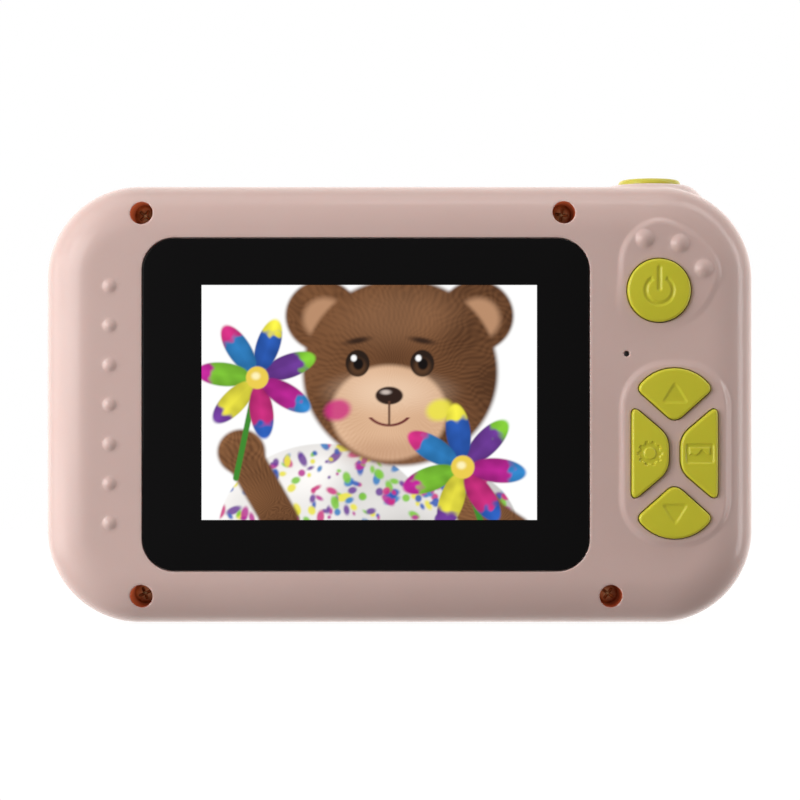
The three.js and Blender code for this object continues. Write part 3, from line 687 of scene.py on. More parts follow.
def dome_points(cx, cz, radius):
    shares = (0.0001, 0.15, 0.3, 0.45, 0.6, 0.75, 0.9, 1.05)
    return np.vstack([circle(cx, cz, radius * s, 6 if s < 0.1 else 28) for s in shares])


def band(loop, reach, step):
    return np.vstack([offset_loop(loop, d) for d in np.arange(-reach, reach + 0.001, step)])


def face_points(holes, domes, bands, lip):
    """The inner points of a shell's face: pillow rings, rings round each feature and a plain grid."""
    near = [offset_loop(hole, d) for hole in holes for d in ring_steps(lip)]
    near += [offset_loop(hole, lip + 0.25) for hole in holes]
    near += [dome_points(*dome) for dome in domes]
    near += bands
    rings = 16
    angles = np.arange(1, rings + 1) / rings * math.pi / 2
    near += [case_loop(PILLOW_W * (1 - math.cos(a)))[:: 1 if a < 1 else 2] for a in angles]
    half_w, half_h = CASE_W / 2 - PILLOW_W, CASE_H / 2 - PILLOW_W
    near.append(hex_grid(-half_w, half_w, -half_h, half_h, 0.8))
    points = spaced(np.vstack(near), 0.09)
    inside = rect_distance(points, 0, 0, CASE_W, CASE_H, CORNER) < -0.02
    return clear_of(points[inside], holes, 0.02)


COLLAR_TOP, COLLAR_FOOT, COLLAR_BLEND = 5.2, 7.2, 0.22


def raise_collar(xyz):
    """Lifts the top of the case into the low mound round the shutter button."""
    r = np.hypot(xyz[:, 0] - SHUTTER_X, xyz[:, 1])
    share = np.clip((r - COLLAR_TOP) / (COLLAR_FOOT - COLLAR_TOP), 0, 2)
    mound = TOP + COLLAR_H - 1.0 * share**2
    z = xyz[:, 2]
    gap = np.clip(0.5 + 0.5 * (mound - z) / COLLAR_BLEND, 0, 1)
    blended = z * (1 - gap) + mound * gap + COLLAR_BLEND * gap * (1 - gap)
    near = (r < 9) & (z > TOP - 3)
    xyz[:, 2] = np.where(near, blended, z)
    return xyz


def level(loop, y):
    """The loop's points in space, at one depth y or at a depth each."""
    return np.column_stack([loop[:, 0], np.full(len(loop), y), loop[:, 1]])


def shell_face(solid, side, outer, openings, extra, relief, lip):
    """The outer face of a shell. Returns the numbers of its points, the outer loop's first."""
    holes = [loop for loop, _, _ in openings]
    points, triangles = triangulate([outer, *holes], extra)
    height = FACE_OUT - pillow(points, 0, PILLOW_W, PILLOW_D) + relief(points) - lip_drop(points, holes, lip)
    height[: len(outer)] = FACE_OUT - PILLOW_D
    index = solid.ring(raise_collar(level(points, side * height)))
    solid.patch(triangles, index)
    return index


def shell(side, openings, domes, bands, relief, lip=0.14):
    """One shell. side is -1 for the screen half. openings holds (loop, kind, details) for each hole."""
    solid = Solid()
    outer = case_loop(0)
    extra = face_points([loop for loop, _, _ in openings], domes, bands, lip)
    index = shell_face(solid, side, outer, openings, extra, relief, lip)

    rim = side * SEAM + SEAM_GAP / 2
    wall_top = FACE_OUT - PILLOW_D
    rows = [(0, h) for h in np.linspace(wall_top, rim + 0.25, 24)[1:]]
    rows += [(0.06, rim + 0.09), (0.2, rim)]
    rings = [index[: len(outer)]]
    rings += [solid.ring(raise_collar(level(case_loop(inset), side * h))) for inset, h in rows]
    inner_loop = case_loop(WALL)
    rings += [solid.ring(level(inner_loop, side * h)) for h in (rim, wall_top)]
    last = solid.tube(rings)

    inner_holes = [inner_mouth(*opening) for opening in openings]
    grid = clear_of(hex_grid(-44, 44, -24, 24, 4), inner_holes, 0.5)
    points, triangles = triangulate([inner_loop, *inner_holes], grid)
    thickness = FACE if side < 0 else WALL
    heights = FACE_OUT - thickness - pillow(points, WALL, PILLOW_W - WALL, PILLOW_D - thickness)
    inner_index = last + solid.ring(level(points, side * heights)[len(inner_loop) :])
    solid.patch(triangles, inner_index)

    start, inner_start = len(outer), len(inner_loop)
    for (loop, kind, details), inner in zip(openings, inner_holes):
        mouth = index[start : start + len(loop)]
        target = inner_index[inner_start : inner_start + len(inner)]
        start += len(loop)
        inner_start += len(inner)
        join_opening(solid, side, loop, kind, details, mouth, target)
    return solid


def inner_mouth(loop, kind, details):
    if kind == "window":
        return details["sight"]
    if kind == "screw":
        return circle(*details["at"], BOSS, len(loop))
    return loop


def join_opening(solid, side, loop, kind, details, mouth, target):
    """Joins a hole's mouth on the outside of the face to its loop on the inside."""
    if kind in ("plain", "key"):
        # Key holes take finish 2, the gap material with its painted shade.
        solid.strip(mouth, target, 2 if kind == "key" else 0)
        return
    if kind == "window":
        depth = FACE_OUT - WINDOW["ledge"]
        stops = [(loop, depth, 0), (details["sight"], depth, 0)]
    else:
        seat = FACE_OUT - BORE_DEPTH
        bore = [(BORE, FACE_OUT - 1.2), (BORE, seat), (THROUGH, seat), (THROUGH, seat - SEAT)]
        # Finish 1 is the bore material, with its painted glow.
        stops = [(circle(*details["at"], r, len(loop)), h, 1) for r, h in bore]
        stops.append((circle(*details["at"], BOSS, len(loop)), seat - SEAT, 0))
    last = mouth
    for here, h, finish in stops:
        ring = solid.ring(level(here, side * h))
        solid.strip(last, ring, finish)
        last = ring
    solid.strip(last, target)


def shutter_cutter():
    high = TOP + COLLAR_H
    r = SHUTTER_R + 0.15
    profile = [
        (0, TOP - 6), (r, TOP - 6), (r, high - 0.2),
        (r + 0.07, high - 0.06), (r + 0.4, high + 0.3), (0, high + 0.3),
    ]
    return turned(profile, along_z(SHUTTER_X, 0), 96)


def slab_cutter(loop, *stops):
    """A closed cutter into the left wall: the loop repeated at each (depth, offset)."""
    solid = Solid()
    rings = [solid.placed_ring(offset_loop(loop, offset), on_left_wall, h) for h, offset in stops]
    solid.tube(rings)
    solid.face(rings[0])
    solid.face(rings[-1])
    return solid


def on_left_wall(u, v, h):
    """u runs towards the lens side, v up, and h is the depth into the left wall from its surface."""
    return (-CASE_W / 2 + h, u, v)


def door_loop(margin):
    """The port cover's outline grown by a margin, its corners sharper at the hinged end."""
    half, end = DOOR_W / 2 + margin, DOOR_HALF + margin
    hinged, free = 0.3 + margin / 2, 0.9 + margin / 2
    return soft_polygon([
        (DOOR_Y + half, -end, free), (DOOR_Y + half, end, hinged),
        (DOOR_Y - half, end, hinged), (DOOR_Y - half, -end, free),
    ], 0.3)


def door_cutters():
    recess = door_loop(0.2)
    usb = rounded_rect(-1.75, -6.5, 3.4, 8.6, 1.2, 0.3)
    card = rounded_rect(-2.4, 7.0, 1.2, 11.0, 0.5, 0.3)
    nail = rounded_rect(DOOR_Y, -DOOR_HALF - 0.2, 3.6, 2.6, 1.25, 0.25)
    return [
        slab_cutter(recess, (-1, 0.5), (0, 0.12), (0.15, 0), (1.3, 0)),
        slab_cutter(nail, (-1, 0.4), (0, 0.15), (0.3, 0), (0.9, -0.3)),
        *(slab_cutter(slot, (-1, 0), (1.25, 0), (3.0, 0)) for slot in (usb, card)),
    ]


def dot_places():
    return [(DOT_X, (k - (DOT_COUNT - 1) / 2) * DOT_PITCH) for k in range(DOT_COUNT)]


def make_rear_cover():
    edge = WINDOW["edge"]
    size = (WINDOW["w"] + 2 * edge, WINDOW["h"] + 2 * edge, WINDOW["corner"] + edge)
    pocket = rounded_rect(WINDOW["x"], WINDOW["z"], *size, 0.5)
    margin = 2 * PICTURE["margin"]
    sight = rounded_rect(
        PICTURE["x"], PICTURE["z"], PICTURE["w"] + margin, PICTURE["h"] + margin, 0.8, 0.5, size,
    )
    openings = [(pocket, "window", {"sight": sight})]
    openings += [(offset_loop(loop, KEY_GAP), "key", {}) for loop in key_loops().values()]
    openings.append((circle(MIC_X, MIC_Z, MIC_R, 24), "plain", {}))
    openings += [(circle(x, z, BORE, 48), "screw", {"at": (x, z)}) for x, z in SCREWS]
    domes = [(x, z, DOT_R) for x, z in dot_places()] + [(x, z, TOE_R) for x, z in TOES]
    nav_loop = rounded_rect(*NAV_PAD.values(), 0.35)
    bands = [band(loop, PAD_SOFT + 0.3, 0.15) for loop in (nav_loop, PAW_LOOP)]
    solid = shell(-1, openings, domes, bands, rear_relief)
    # Materials 1 and 2 carry the painted glow of the bores and the painted shade of the key gaps.
    materials = [MAT["shell"], MAT["bore"], MAT["gap"]]
    obj = mesh_object("rear_cover_fine", solid, materials, "root", ["rear_cover"])
    cut_away(obj, [shutter_cutter(), *door_cutters()])


def speaker_holes():
    holes = []
    for radius, count in SPEAKER_RINGS:
        for k in range(count):
            angle = k / count * 2 * math.pi
            x = SPEAKER_X + radius * math.cos(angle)
            holes.append(circle(x, SPEAKER_Z + radius * math.sin(angle), SPEAKER_HOLE, 20))
    return holes


def make_front_housing():
    openings = [(circle(0, 0, LENS_HOLE, 96), "plain", {})]
    openings.append((circle(FLASH_X, FLASH_Z, FLASH_R + 0.15, 64), "plain", {}))
    openings += [(loop, "plain", {}) for loop in speaker_holes()]
    solid = shell(1, openings, [], [], lambda p: np.zeros(len(p)), 0.15)
    cut_away(fine_piece("front_housing", solid, "shell"), [shutter_cutter()])


# ---- Caps: keys, window border and covers ----


def cap(loop, top, rows, extra, place, edge):
    """A closed cap. top gives the height at each point; rows are (offset, height) down the side."""
    solid = Solid()
    inner = spaced(np.vstack([*(offset_loop(loop, -d) for d in ring_steps(edge)), extra]), 0.03)
    inner = inner[loop_distance(inner, loop) < -0.01]
    points, triangles = triangulate([loop], inner)
    drop = rounding(np.maximum(-loop_distance(points, loop), 0), edge)
    drop[: len(loop)] = edge
    index = solid.ring([place(u, v, h) for (u, v), h in zip(points, top(points) - drop)])
    solid.patch(triangles, index)
    rings = [index[: len(loop)]]
    rings += [solid.placed_ring(offset_loop(loop, offset), place, h) for offset, h in rows]
    _, flat = triangulate([offset_loop(loop, rows[-1][0])], np.empty((0, 2)))
    solid.patch(flat, solid.tube(rings))
    return solid


def screen_side(u, v, h):
    return (u, -h, v)


ICON_DEPTH = 0.2


def engraved(distance, edge=0.48):
    """Depth of an engraving, from the distance to its outline, negative inside."""
    return ICON_DEPTH * smooth(0.5 - distance / edge)


def power_icon(points):
    p = points - [POWER_X, POWER_Z]
    angle = np.abs(np.arctan2(p[:, 0], p[:, 1]))
    ring = np.abs(np.hypot(p[:, 0], p[:, 1]) - 1.97) - 0.25
    opening = (math.radians(32) - angle) * 2.0
    bar = segment_distance(p, (0, 0.2), (0, 3.25)) - 0.27
    return engraved(np.minimum(np.maximum(ring, opening), bar))


def arrow_icon(up):
    def icon(points):
        p = (points - [NAV_X, NAV_Z]) * [1, up]
        base, apex, half, soft = 7.4, 10.5, 1.85, 0.5
        slope = np.array([apex - base, half]) / math.hypot(apex - base, half)
        across = np.sqrt(p[:, 0] ** 2 + 0.08)
        sides = across * slope[0] + (p[:, 1] - apex) * slope[1] + soft
        foot = base - p[:, 1] + soft
        inside = np.minimum(np.maximum(sides, foot), 0)
        return engraved(np.hypot(np.maximum(sides, 0), np.maximum(foot, 0)) + inside - soft)

    return icon


GEAR_X = NAV_X - 3.62


def gear_icon(points):
    p = points - [GEAR_X, NAV_Z]
    r = np.hypot(p[:, 0], p[:, 1])
    wave = np.cos(np.arctan2(p[:, 1], p[:, 0]) * 10)
    rim = 1.5 + 0.3 * smooth(0.5 + wave * 1.6)
    return engraved(np.maximum(r - rim, 0.86 - r), 0.28)


PHOTO_X = NAV_X + 3.6


def photo_icon(points):
    p = points - [PHOTO_X, NAV_Z]
    frame_part = rect_distance(p, 0, 0, 4.0, 2.75, 0.3)
    ridge = 0.05 + 0.32 * np.sin(p[:, 0] * 2.1 + 0.6) + 0.18 * np.sin(p[:, 0] * 4.3)
    sky = np.maximum(rect_distance(p, 0, 0.0, 3.0, 1.75, 0.1), ridge - p[:, 1])
    return engraved(np.maximum(frame_part, -sky), 0.32)


ICONS = {
    "power_button": (power_icon, POWER_X, POWER_Z, 3.7),
    "up_key": (arrow_icon(1), NAV_X, NAV_Z + 8.8, 2.3),
    "down_key": (arrow_icon(-1), NAV_X, NAV_Z - 8.8, 2.3),
    "settings_key": (gear_icon, GEAR_X, NAV_Z, 2.1),
    "playback_key": (photo_icon, PHOTO_X, NAV_Z, 2.3),
}
KEY_CROWN = 0.12


def make_key(name, loop):
    icon, x, z, reach = ICONS[name]
    proud = POWER_PROUD if name == "power_button" else NAV_PROUD
    centre = (loop.min(0) + loop.max(0)) / 2
    radius = np.hypot(*(loop - centre).T).max()
    fine = hex_grid(x - reach, x + reach, z - reach, z + reach, 0.085)
    coarse = hex_grid(*np.column_stack([loop.min(0), loop.max(0)]).ravel(), 0.35)

    def top(points):
        r2 = ((points - centre) ** 2).sum(1) / radius**2
        return FACE_OUT + proud - KEY_CROWN * r2 - icon(points)

    foot = 9.1
    rows = [(0, FACE_OUT - 1.0), (0, foot + 0.5), (0, foot)]
    solid = cap(loop, top, rows, np.vstack([fine, coarse]), screen_side, 0.42)
    fine_piece(name, solid, "key", name)


def make_border():
    """The printed black border of the window, with its polished edge."""
    size = (WINDOW["w"], WINDOW["h"], WINDOW["corner"])
    loop = rounded_rect(WINDOW["x"], WINDOW["z"], *size, 0.5)
    sight = rounded_rect(PICTURE["x"], PICTURE["z"], PICTURE["w"], PICTURE["h"], 0.05, 0.5, size)
    solid = Solid()
    front = FACE_OUT - 0.05
    back = front - 1.0
    polished = ((0, -0.1), (-0.03, -0.03), (-0.1, 0))
    stops = [(loop, back)]
    stops += [(offset_loop(loop, offset), front + h) for offset, h in polished]
    stops += [(sight, front), (sight, back)]
    rings = [solid.placed_ring(here, screen_side, h) for here, h in stops]
    solid.tube([*rings, rings[0]])
    mesh_object("screen_border", solid, [MAT["window"]], "root", ["display_window"])


def make_shutter():
    high = TOP + SHUTTER_H
    flange, foot, shelf = 5.05, 28.5, 29.3
    corners = [
        (0, foot, 0), (flange, foot, 0.1), (flange, shelf, 0.1), (SHUTTER_R, shelf, 0.05),
        (SHUTTER_R, high - 0.12, 0.75), (SHUTTER_R - 2.2, high - 0.02, 1.2), (0, high, 0),
    ]
    solid = turned(rounded_path(corners, 8), along_z(SHUTTER_X, 0), 96)
    fine_piece("shutter_button", solid, "cap", "shutter_button")


def make_case_screw(number, x, z):
    """A pan head with a cross recess, and a plain shank."""
    head, tall, seat = 1.5, 1.2, FACE_OUT - BORE_DEPTH + 0.05
    loop = circle(x, z, head, 64)
    grid = hex_grid(x - head, x + head, z - head, z + head, 0.06)
    turn = math.radians(20 + 31 * number)
    ways = np.array([[math.cos(turn), math.sin(turn)], [-math.sin(turn), math.cos(turn)]])

    def top(points):
        p = (points - [x, z]) @ ways.T
        r = np.hypot(p[:, 0], p[:, 1])
        a, b = np.abs(p).T
        arms = np.minimum(np.maximum(a - 0.15, b - 0.9), np.maximum(b - 0.15, a - 0.9))
        recess = 0.62 * smooth(0.5 - arms / 0.12) * np.clip(1.25 - r / 1.1, 0, 1)
        return seat + tall - 0.25 * (r / head) ** 2 - recess

    rows = [(0, seat), (-0.65, seat), (-0.65, 2.0), (-0.65, -0.6), (-1.0, -2.6)]
    solid = cap(loop, top, rows, grid, screen_side, 0.3)
    fine_piece(f"case_screw_{number}", solid, "bronze")


# ---- The screen's picture: a toy bear with two paper flowers, on white ----

FUR, FUR_DARK, MUZZLE = (0.20, 0.085, 0.035), (0.085, 0.034, 0.014), (0.78, 0.50, 0.32)
PAINTS = [
    (0.16, 0.045, 0.32), (0.025, 0.11, 0.48), (0.03, 0.22, 0.55), (0.22, 0.58, 0.04), (0.85, 0.78, 0.06),
    (0.62, 0.03, 0.22), (0.50, 0.02, 0.30),
]


def paint(colour, cover, shade):
    """The colours, painted over with a shade, or a shade each, by the share that it covers."""
    return colour * (1 - cover[:, None]) + np.asarray(shade) * cover[:, None]


def blob(u, v, cu, cv, ru, rv, tilt=0.0, soft=0.14):
    """How much of each point a soft-edged ellipse covers, from 0 to 1."""
    c, s = math.cos(tilt), math.sin(tilt)
    a = ((u - cu) * c + (v - cv) * s) / ru
    b = (-(u - cu) * s + (v - cv) * c) / rv
    return smooth(0.5 + (1 - np.hypot(a, b)) * min(ru, rv) / (2 * soft))


def ripples(u, v, fine, seed):
    """Soft noise of about -1 to 1, from waves in random directions."""
    random = np.random.default_rng(seed)
    total = np.zeros(len(u))
    for k in range(9):
        angle = random.uniform(0, math.pi)
        wave = fine * random.uniform(0.6, 1.7)
        across = u * math.sin(angle) - v * math.cos(angle)
        bend = 1.3 * np.sin(0.35 * wave * across + random.uniform(0, 6))
        total += np.sin(wave * (u * math.cos(angle) + v * math.sin(angle)) + bend + random.uniform(0, 6))
    return total / 4.5


def furred(u, v, cu, cv, light, dark, seed):
    """Fur colours that streak outwards from a middle."""
    angle = np.arctan2(v - cv, u - cu)
    radius = np.hypot(u - cu, v - cv)
    streak = np.sin(angle * 85 + 3 * ripples(u, v, 0.9, seed))
    streak *= np.sin(radius * 2.1 + 4 * ripples(u, v, 1.4, seed + 1))
    tone = np.clip(0.55 + 0.28 * streak + 0.25 * ripples(u, v, 0.5, seed + 2) - 0.02 * (u - cu), 0, 1)
    return np.array(dark) * (1 - tone[:, None]) + np.array(light) * tone[:, None]


def add_flower(colour, u, v, cu, cv, size, turn):
    for k in range(7):
        angle = turn + k / 7 * 2 * math.pi
        c, s = math.cos(angle), math.sin(angle)
        cover = blob(u, v, cu + 0.58 * size * c, cv + 0.58 * size * s, size * 0.46, size * 0.2, angle)
        along = ((u - cu) * c + (v - cv) * s) / size
        across = (-(u - cu) * s + (v - cv) * c) / size
        light = 0.72 + 0.45 * along - 1.6 * np.abs(across) + 0.10 * ripples(u, v, 2.2, 40 + k)
        tipped = smooth((along + 0.06 * ripples(u, v, 3, 60 + k) - 0.72) / 0.12)[:, None]
        shade = np.array(PAINTS[k]) * (1 - tipped) + np.array(PAINTS[(k + 3) % 7]) * tipped
        colour = paint(colour, cover, shade * np.clip(light, 0.35, 1.35)[:, None])
    colour = paint(colour, blob(u, v, cu, cv, size * 0.19, size * 0.19), (0.85, 0.62, 0.08))
    return paint(colour, blob(u, v, cu - 0.2, cv + 0.25, size * 0.07, size * 0.06, 0, 0.3), (1, 0.9, 0.5))


def add_shirt(colour, u, v):
    """A white shirt with splashes of paint."""
    shirt = np.maximum(blob(u, v, -6.5, -19, 15.5, 13), blob(u, v, 13, -20, 9, 10))
    folds = np.clip(0.84 + 0.11 * ripples(u, v, 0.45, 5) - 0.010 * (u + 6), 0, 1)
    colour = paint(colour, shirt, np.column_stack([folds, folds * 0.975, folds * 0.95]))
    random = np.random.default_rng(12)
    for k in range(300):
        cu, cv = random.uniform(-22, 20), random.uniform(-17.4, -5)
        size = random.uniform(0.18, 0.62)
        dab = blob(u, v, cu, cv, size * random.uniform(1, 2.2), size, random.uniform(0, 3), 0.2)
        colour = paint(colour, dab * shirt * 0.92, PAINTS[k * 3 % 7])
    return colour


def add_spots(colour, u, v, *spots):
    """Soft-edged ellipses, painted in turn. Each is (middle, radii, tilt, softness, share, shade)."""
    for (cu, cv), (ru, rv), tilt, soft, share, shade in spots:
        colour = paint(colour, blob(u, v, cu, cv, ru, rv, tilt, soft) * share, shade)
    return colour


def add_head(colour, u, v):
    fur = furred(u, v, 4.5, 3, FUR, FUR_DARK, 1)
    for cu in (-6.8, 15.6):
        ear = ((cu, 12.6), (5.4, 5.2), 0, 0.35, 1, fur)
        hollow = ((cu + 0.3, 12.2), (3.1, 3.0), 0, 0.7, 1, (0.50, 0.27, 0.15))
        colour = add_spots(colour, u, v, ear, hollow)
    muzzle = furred(u, v, 3, 0, MUZZLE, (0.66, 0.40, 0.24), 9)
    return add_spots(
        colour, u, v,
        ((4.5, 4.4), (14.2, 13.6), 0, 0.45, 1, fur),
        ((4.3, 12.5), (7.5, 3.6), 0.1, 2.6, 0.35, (0.40, 0.20, 0.10)),
        ((2.9, -1.5), (8.4, 6.9), 0, 0.5, 1, muzzle),
        ((3.0, 1.5), (6.0, 2.2), 0, 2.0, 0.5, (0.92, 0.70, 0.52)),
        ((3.0, -7.2), (6.2, 1.6), 0, 1.4, 0.4, (0.42, 0.20, 0.11)),
        ((-4.6, -1.1), (1.9, 1.5), 0.3, 0.5, 0.9, PAINTS[5]),
        ((10.2, -1.1), (1.9, 1.5), 0.3, 0.5, 0.9, PAINTS[4]),
    )


def add_features(colour, u, v):
    """The eyes and brows, the nose and the mouth."""
    for cu, tilt in ((-1.7, 0.18), (7.7, -0.18)):
        colour = add_spots(
            colour, u, v,
            ((cu, 5.7), (1.75, 1.95), 0, 0.14, 1, (0.022, 0.012, 0.008)),
            ((cu, 5.2), (1.15, 1.2), 0, 0.5, 1, (0.10, 0.045, 0.02)),
            ((cu + 0.1, 5.6), (0.75, 0.85), 0, 0.2, 1, (0.006, 0.004, 0.004)),
            ((cu - 0.55, 6.45), (0.42, 0.46), 0, 0.14, 1, (1, 1, 1)),
            ((cu, 9.0), (1.7, 0.42), tilt, 0.3, 1, (0.04, 0.018, 0.01)),
        )
    nose = ((2.9, 1.0), (2.0, 1.3), 0, 0.14, 1, (0.03, 0.014, 0.01))
    shine = ((2.4, 1.5), (0.7, 0.32), 0, 0.2, 1, (0.6, 0.5, 0.45))
    colour = add_spots(colour, u, v, nose, shine)
    smile = np.abs(np.hypot(u - 2.9, (v + 0.6) * 1.25) - 3.4) - 0.22
    colour = paint(colour, smooth(0.5 - smile / 0.3) * (v < -2.1), (0.16, 0.03, 0.03))
    groove = smooth(0.5 - (np.abs(u - 2.9) - 0.16) / 0.25) * (v < 0.2) * (v > -3.3)
    return paint(colour, groove, (0.12, 0.05, 0.03))


def add_arm(colour, u, v, elbow, paw):
    """A furry arm from the elbow to the paw, which holds a flower's stem."""
    fur = furred(u, v, *elbow, (0.25, 0.11, 0.045), FUR_DARK, 21)
    away = segment_distance(np.column_stack([u, v]), elbow, paw)
    colour = paint(colour, smooth(0.5 - (away - 2.7) / 0.7), fur)
    return paint(colour, blob(u, v, *paw, 3.5, 3.3, 0, 0.35), fur * 1.12)


def add_stem(colour, u, v, foot, head):
    stem = smooth(0.5 - (segment_distance(np.column_stack([u, v]), foot, head) - 0.42) / 0.25)
    return paint(colour, stem, (0.05, 0.26, 0.03))


def picture_colours(u, v):
    colour = np.ones((len(u), 3))
    colour = add_shirt(colour, u, v)
    colour = add_head(colour, u, v)
    colour = add_features(colour, u, v)
    colour = add_arm(colour, u, v, (-13.0, -17.0), (-18.6, -7.2))
    colour = add_arm(colour, u, v, (21.0, -19.0), (16.0, -15.8))
    for foot, head in (((-19.4, -11.0), (-16.3, 3.6)), ((16.6, -18.5), (13.6, -9.4))):
        colour = add_stem(colour, u, v, foot, head)
    for cu, cv, size, turn in ((-16.3, 3.6, 8.6, 0.35), (13.6, -9.4, 8.9, 0.8)):
        colour = add_flower(colour, u, v, cu, cv, size, turn)
    return colour


def picture_material():
    material, tree, shader = new_material(
        "lit_picture", (0, 0, 0), 0.08, Specular_IOR_Level=0.2, Emission_Strength=1.0,
    )
    paint_node = add_node(tree, "Attribute")
    paint_node.attribute_name = "picture"
    tree.links.new(paint_node.outputs["Color"], shader.inputs["Emission Color"])
    return material


def make_picture():
    """The lit picture: a fine flat grid whose colours are painted by formula, with a solid back."""
    w, h = PICTURE["w"] - 0.04, PICTURE["h"] - 0.04
    step = 0.15
    across, up = round(w / step), round(h / step)
    us = np.linspace(-w / 2, w / 2, across + 1)
    vs = np.linspace(-h / 2, h / 2, up + 1)
    u, v = (a.ravel() for a in np.meshgrid(us, vs))
    places = np.column_stack([PICTURE["x"] + u, PICTURE["z"] + v])
    solid = Solid()
    front = FACE_OUT - 0.2
    index = solid.placed_ring(places, screen_side, front)
    grid = np.arange(len(u)).reshape(up + 1, across + 1)
    squares = np.stack([grid[:-1, :-1], grid[:-1, 1:], grid[1:, 1:], grid[1:, :-1]], -1)
    solid.patch(squares.reshape(-1, 4).tolist(), index)
    edge = [*grid[0], *grid[1:, -1], *grid[-1, -2::-1], *grid[-2:0:-1, 0]]
    back_ring = solid.placed_ring(places[edge], screen_side, front - 0.8)
    solid.strip([index[i] for i in edge], back_ring)
    solid.face(back_ring)
    obj = mesh_object("screen_picture", solid, [picture_material()], "root", ["lcd_panel"])
    attribute = obj.data.color_attributes.new("picture", "FLOAT_COLOR", "POINT")
    colours = np.zeros((len(obj.data.vertices), 4))
    colours[:, 3] = 1
    colours[: len(u), :3] = np.clip(picture_colours(u, v), 0, 1)
    attribute.data.foreach_set("color", colours.ravel())


# ---- Lens side and the port cover ----


def make_lens_ring():
    out, seat, back, foot = FACE_OUT + 3.2, FACE_OUT + 1.2, 9.8, FACE_OUT + 0.1
    bore, mouth, hub, rim = 10.2, 11.3, 12.2, 17.0
    corners = [
        (bore, back, 0.1), (hub, back, 0.2), (hub, foot, 0.05), (rim, foot, 0.2), (rim, out - 0.9, 0.6),
        (15.2, out, 0.8), (12.6, out, 0.5), (mouth, out - 0.9, 0.15), (mouth, seat, 0.05), (bore, seat, 0.05),
    ]
    fine_piece("lens_ring", turned(rounded_path(corners, 6), along_y(0, 0), 128), "key")


def make_lens_window():
    seat = FACE_OUT + 1.2
    corners = [(0, seat + 0.1, 0), (11.0, seat + 0.1, 0.1), (11.0, seat + 1.2, 0.2), (0, seat + 1.2, 0)]
    fine_piece("lens_window", turned(rounded_path(corners, 4), along_y(0, 0), 96), "clear")


def make_lens_baffle():
    """The stepped black funnel between window and barrel."""
    low, high = 9.2, FACE_OUT + 1.1
    steps = 5
    profile = [(4.4, low), (9.9, low), (9.9, high), (9.2, high)]
    for k in range(steps):
        r = 9.2 - (9.2 - 4.4) * (k + 1) / steps
        h = high - (high - low - 0.8) * (k + 1) / steps
        profile += [(r + 0.96, h), (r, h)] if k else [(r, h + 0.5), (r, h)]
    fine_piece("lens_baffle", turned(profile, along_y(0, 0), 96), "black")


def make_lens_element():
    radius, rim = 2.7, 7.9
    angles = np.linspace(math.pi / 2, 0, 10)[:-1]
    bulge = [(radius * math.sin(a), rim + 0.4 + math.cos(a)) for a in angles]
    profile = [(0, rim - 0.5), (radius, rim - 0.1), *bulge, (0, rim + 1.4)]
    fine_piece("lens_element", turned(profile, along_y(0, 0), 48), "coated")


def make_flash_window():
    """A clear cap over the lamp, with fine moulded rings."""
    low, high = 10.4, FACE_OUT + 0.05
    profile = [(0, low), (FLASH_R, low), (FLASH_R, high - 0.2), (FLASH_R - 0.2, high)]
    for k in range(8):
        r = (FLASH_R - 0.35) * (1 - k / 8)
        profile += [(r, high + 0.02), (max(r - 0.18, 0.05), high + 0.14)]
    profile.append((0, high + 0.16))
    fine_piece("flash_window", turned(profile, along_y(FLASH_X, FLASH_Z)), "clear")


def make_port_cover():
    loop = door_loop(0)
    grid = hex_grid(DOOR_Y - DOOR_W / 2, DOOR_Y + DOOR_W / 2, -DOOR_HALF, DOOR_HALF, 0.5)

    def outside(u, v, h):
        """The hinged end is rounded about the pin."""
        up, out = v - (DOOR_HALF - DOOR_T / 2), h - DOOR_T / 2
        shrink = min(1, DOOR_T / 2 / math.hypot(up, out)) if up > 0 else 1
        return (-CASE_W / 2 + DOOR_T / 2 - out * shrink, u, v - up * (1 - shrink))

    def top(points):
        grips = np.zeros(len(points))
        for k in range(3):
            ridge = np.abs(points[:, 1] + DOOR_HALF - 1.6 - k * 1.0)
            across = np.abs(points[:, 0] - DOOR_Y)
            grips += 0.18 * smooth(1 - ridge / 0.42) * smooth((2.2 - across) / 0.4)
        return DOOR_T - grips

    fine = hex_grid(DOOR_Y - 2.4, DOOR_Y + 2.4, -DOOR_HALF + 0.8, -DOOR_HALF + 4.6, 0.12)
    rows = [(0, 0.25), (-0.1, 0.07), (-0.25, 0)]
    solid = cap(loop, top, rows, np.vstack([fine, grid]), outside, 0.22)
    fine_piece("port_cover", solid, "rubber", "port_cover")


# ---- CAD nodes that stay ----

KEPT = {
    "steel": ["microphone", "usb_connector", "memory_card_socket", "port_cover_pin"],
    "board": ["key_board", "shutter_board", "main_board"],
    "white": ["lcd_backlight", "lcd_connector", "flash_led"],
    "black": ["lcd_holder", "lens_barrel", "lens_holder", "processor_chip", "image_sensor", "speaker"],
    "film": ["lcd_flex"],
    "foil": ["battery"],
}
SWITCHES = ["power", "up", "down", "settings", "playback", "shutter"]
KEPT["black"] += [f"{name}_switch" for name in SWITCHES]
KEPT["white"] += [f"{name}_plunger" for name in SWITCHES]
KEPT["steel"] += [f"key_board_screw_{k}" for k in (1, 2, 3)]
KEPT["steel"] += [f"main_board_screw_{k}" for k in (1, 2, 3, 4)]


def dress_cad_nodes():
    for look, names in KEPT.items():
        for name in names:
            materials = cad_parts[name].data.materials
            materials.clear()
            materials.append(MAT[look])


# ---- Floor, light and camera ----


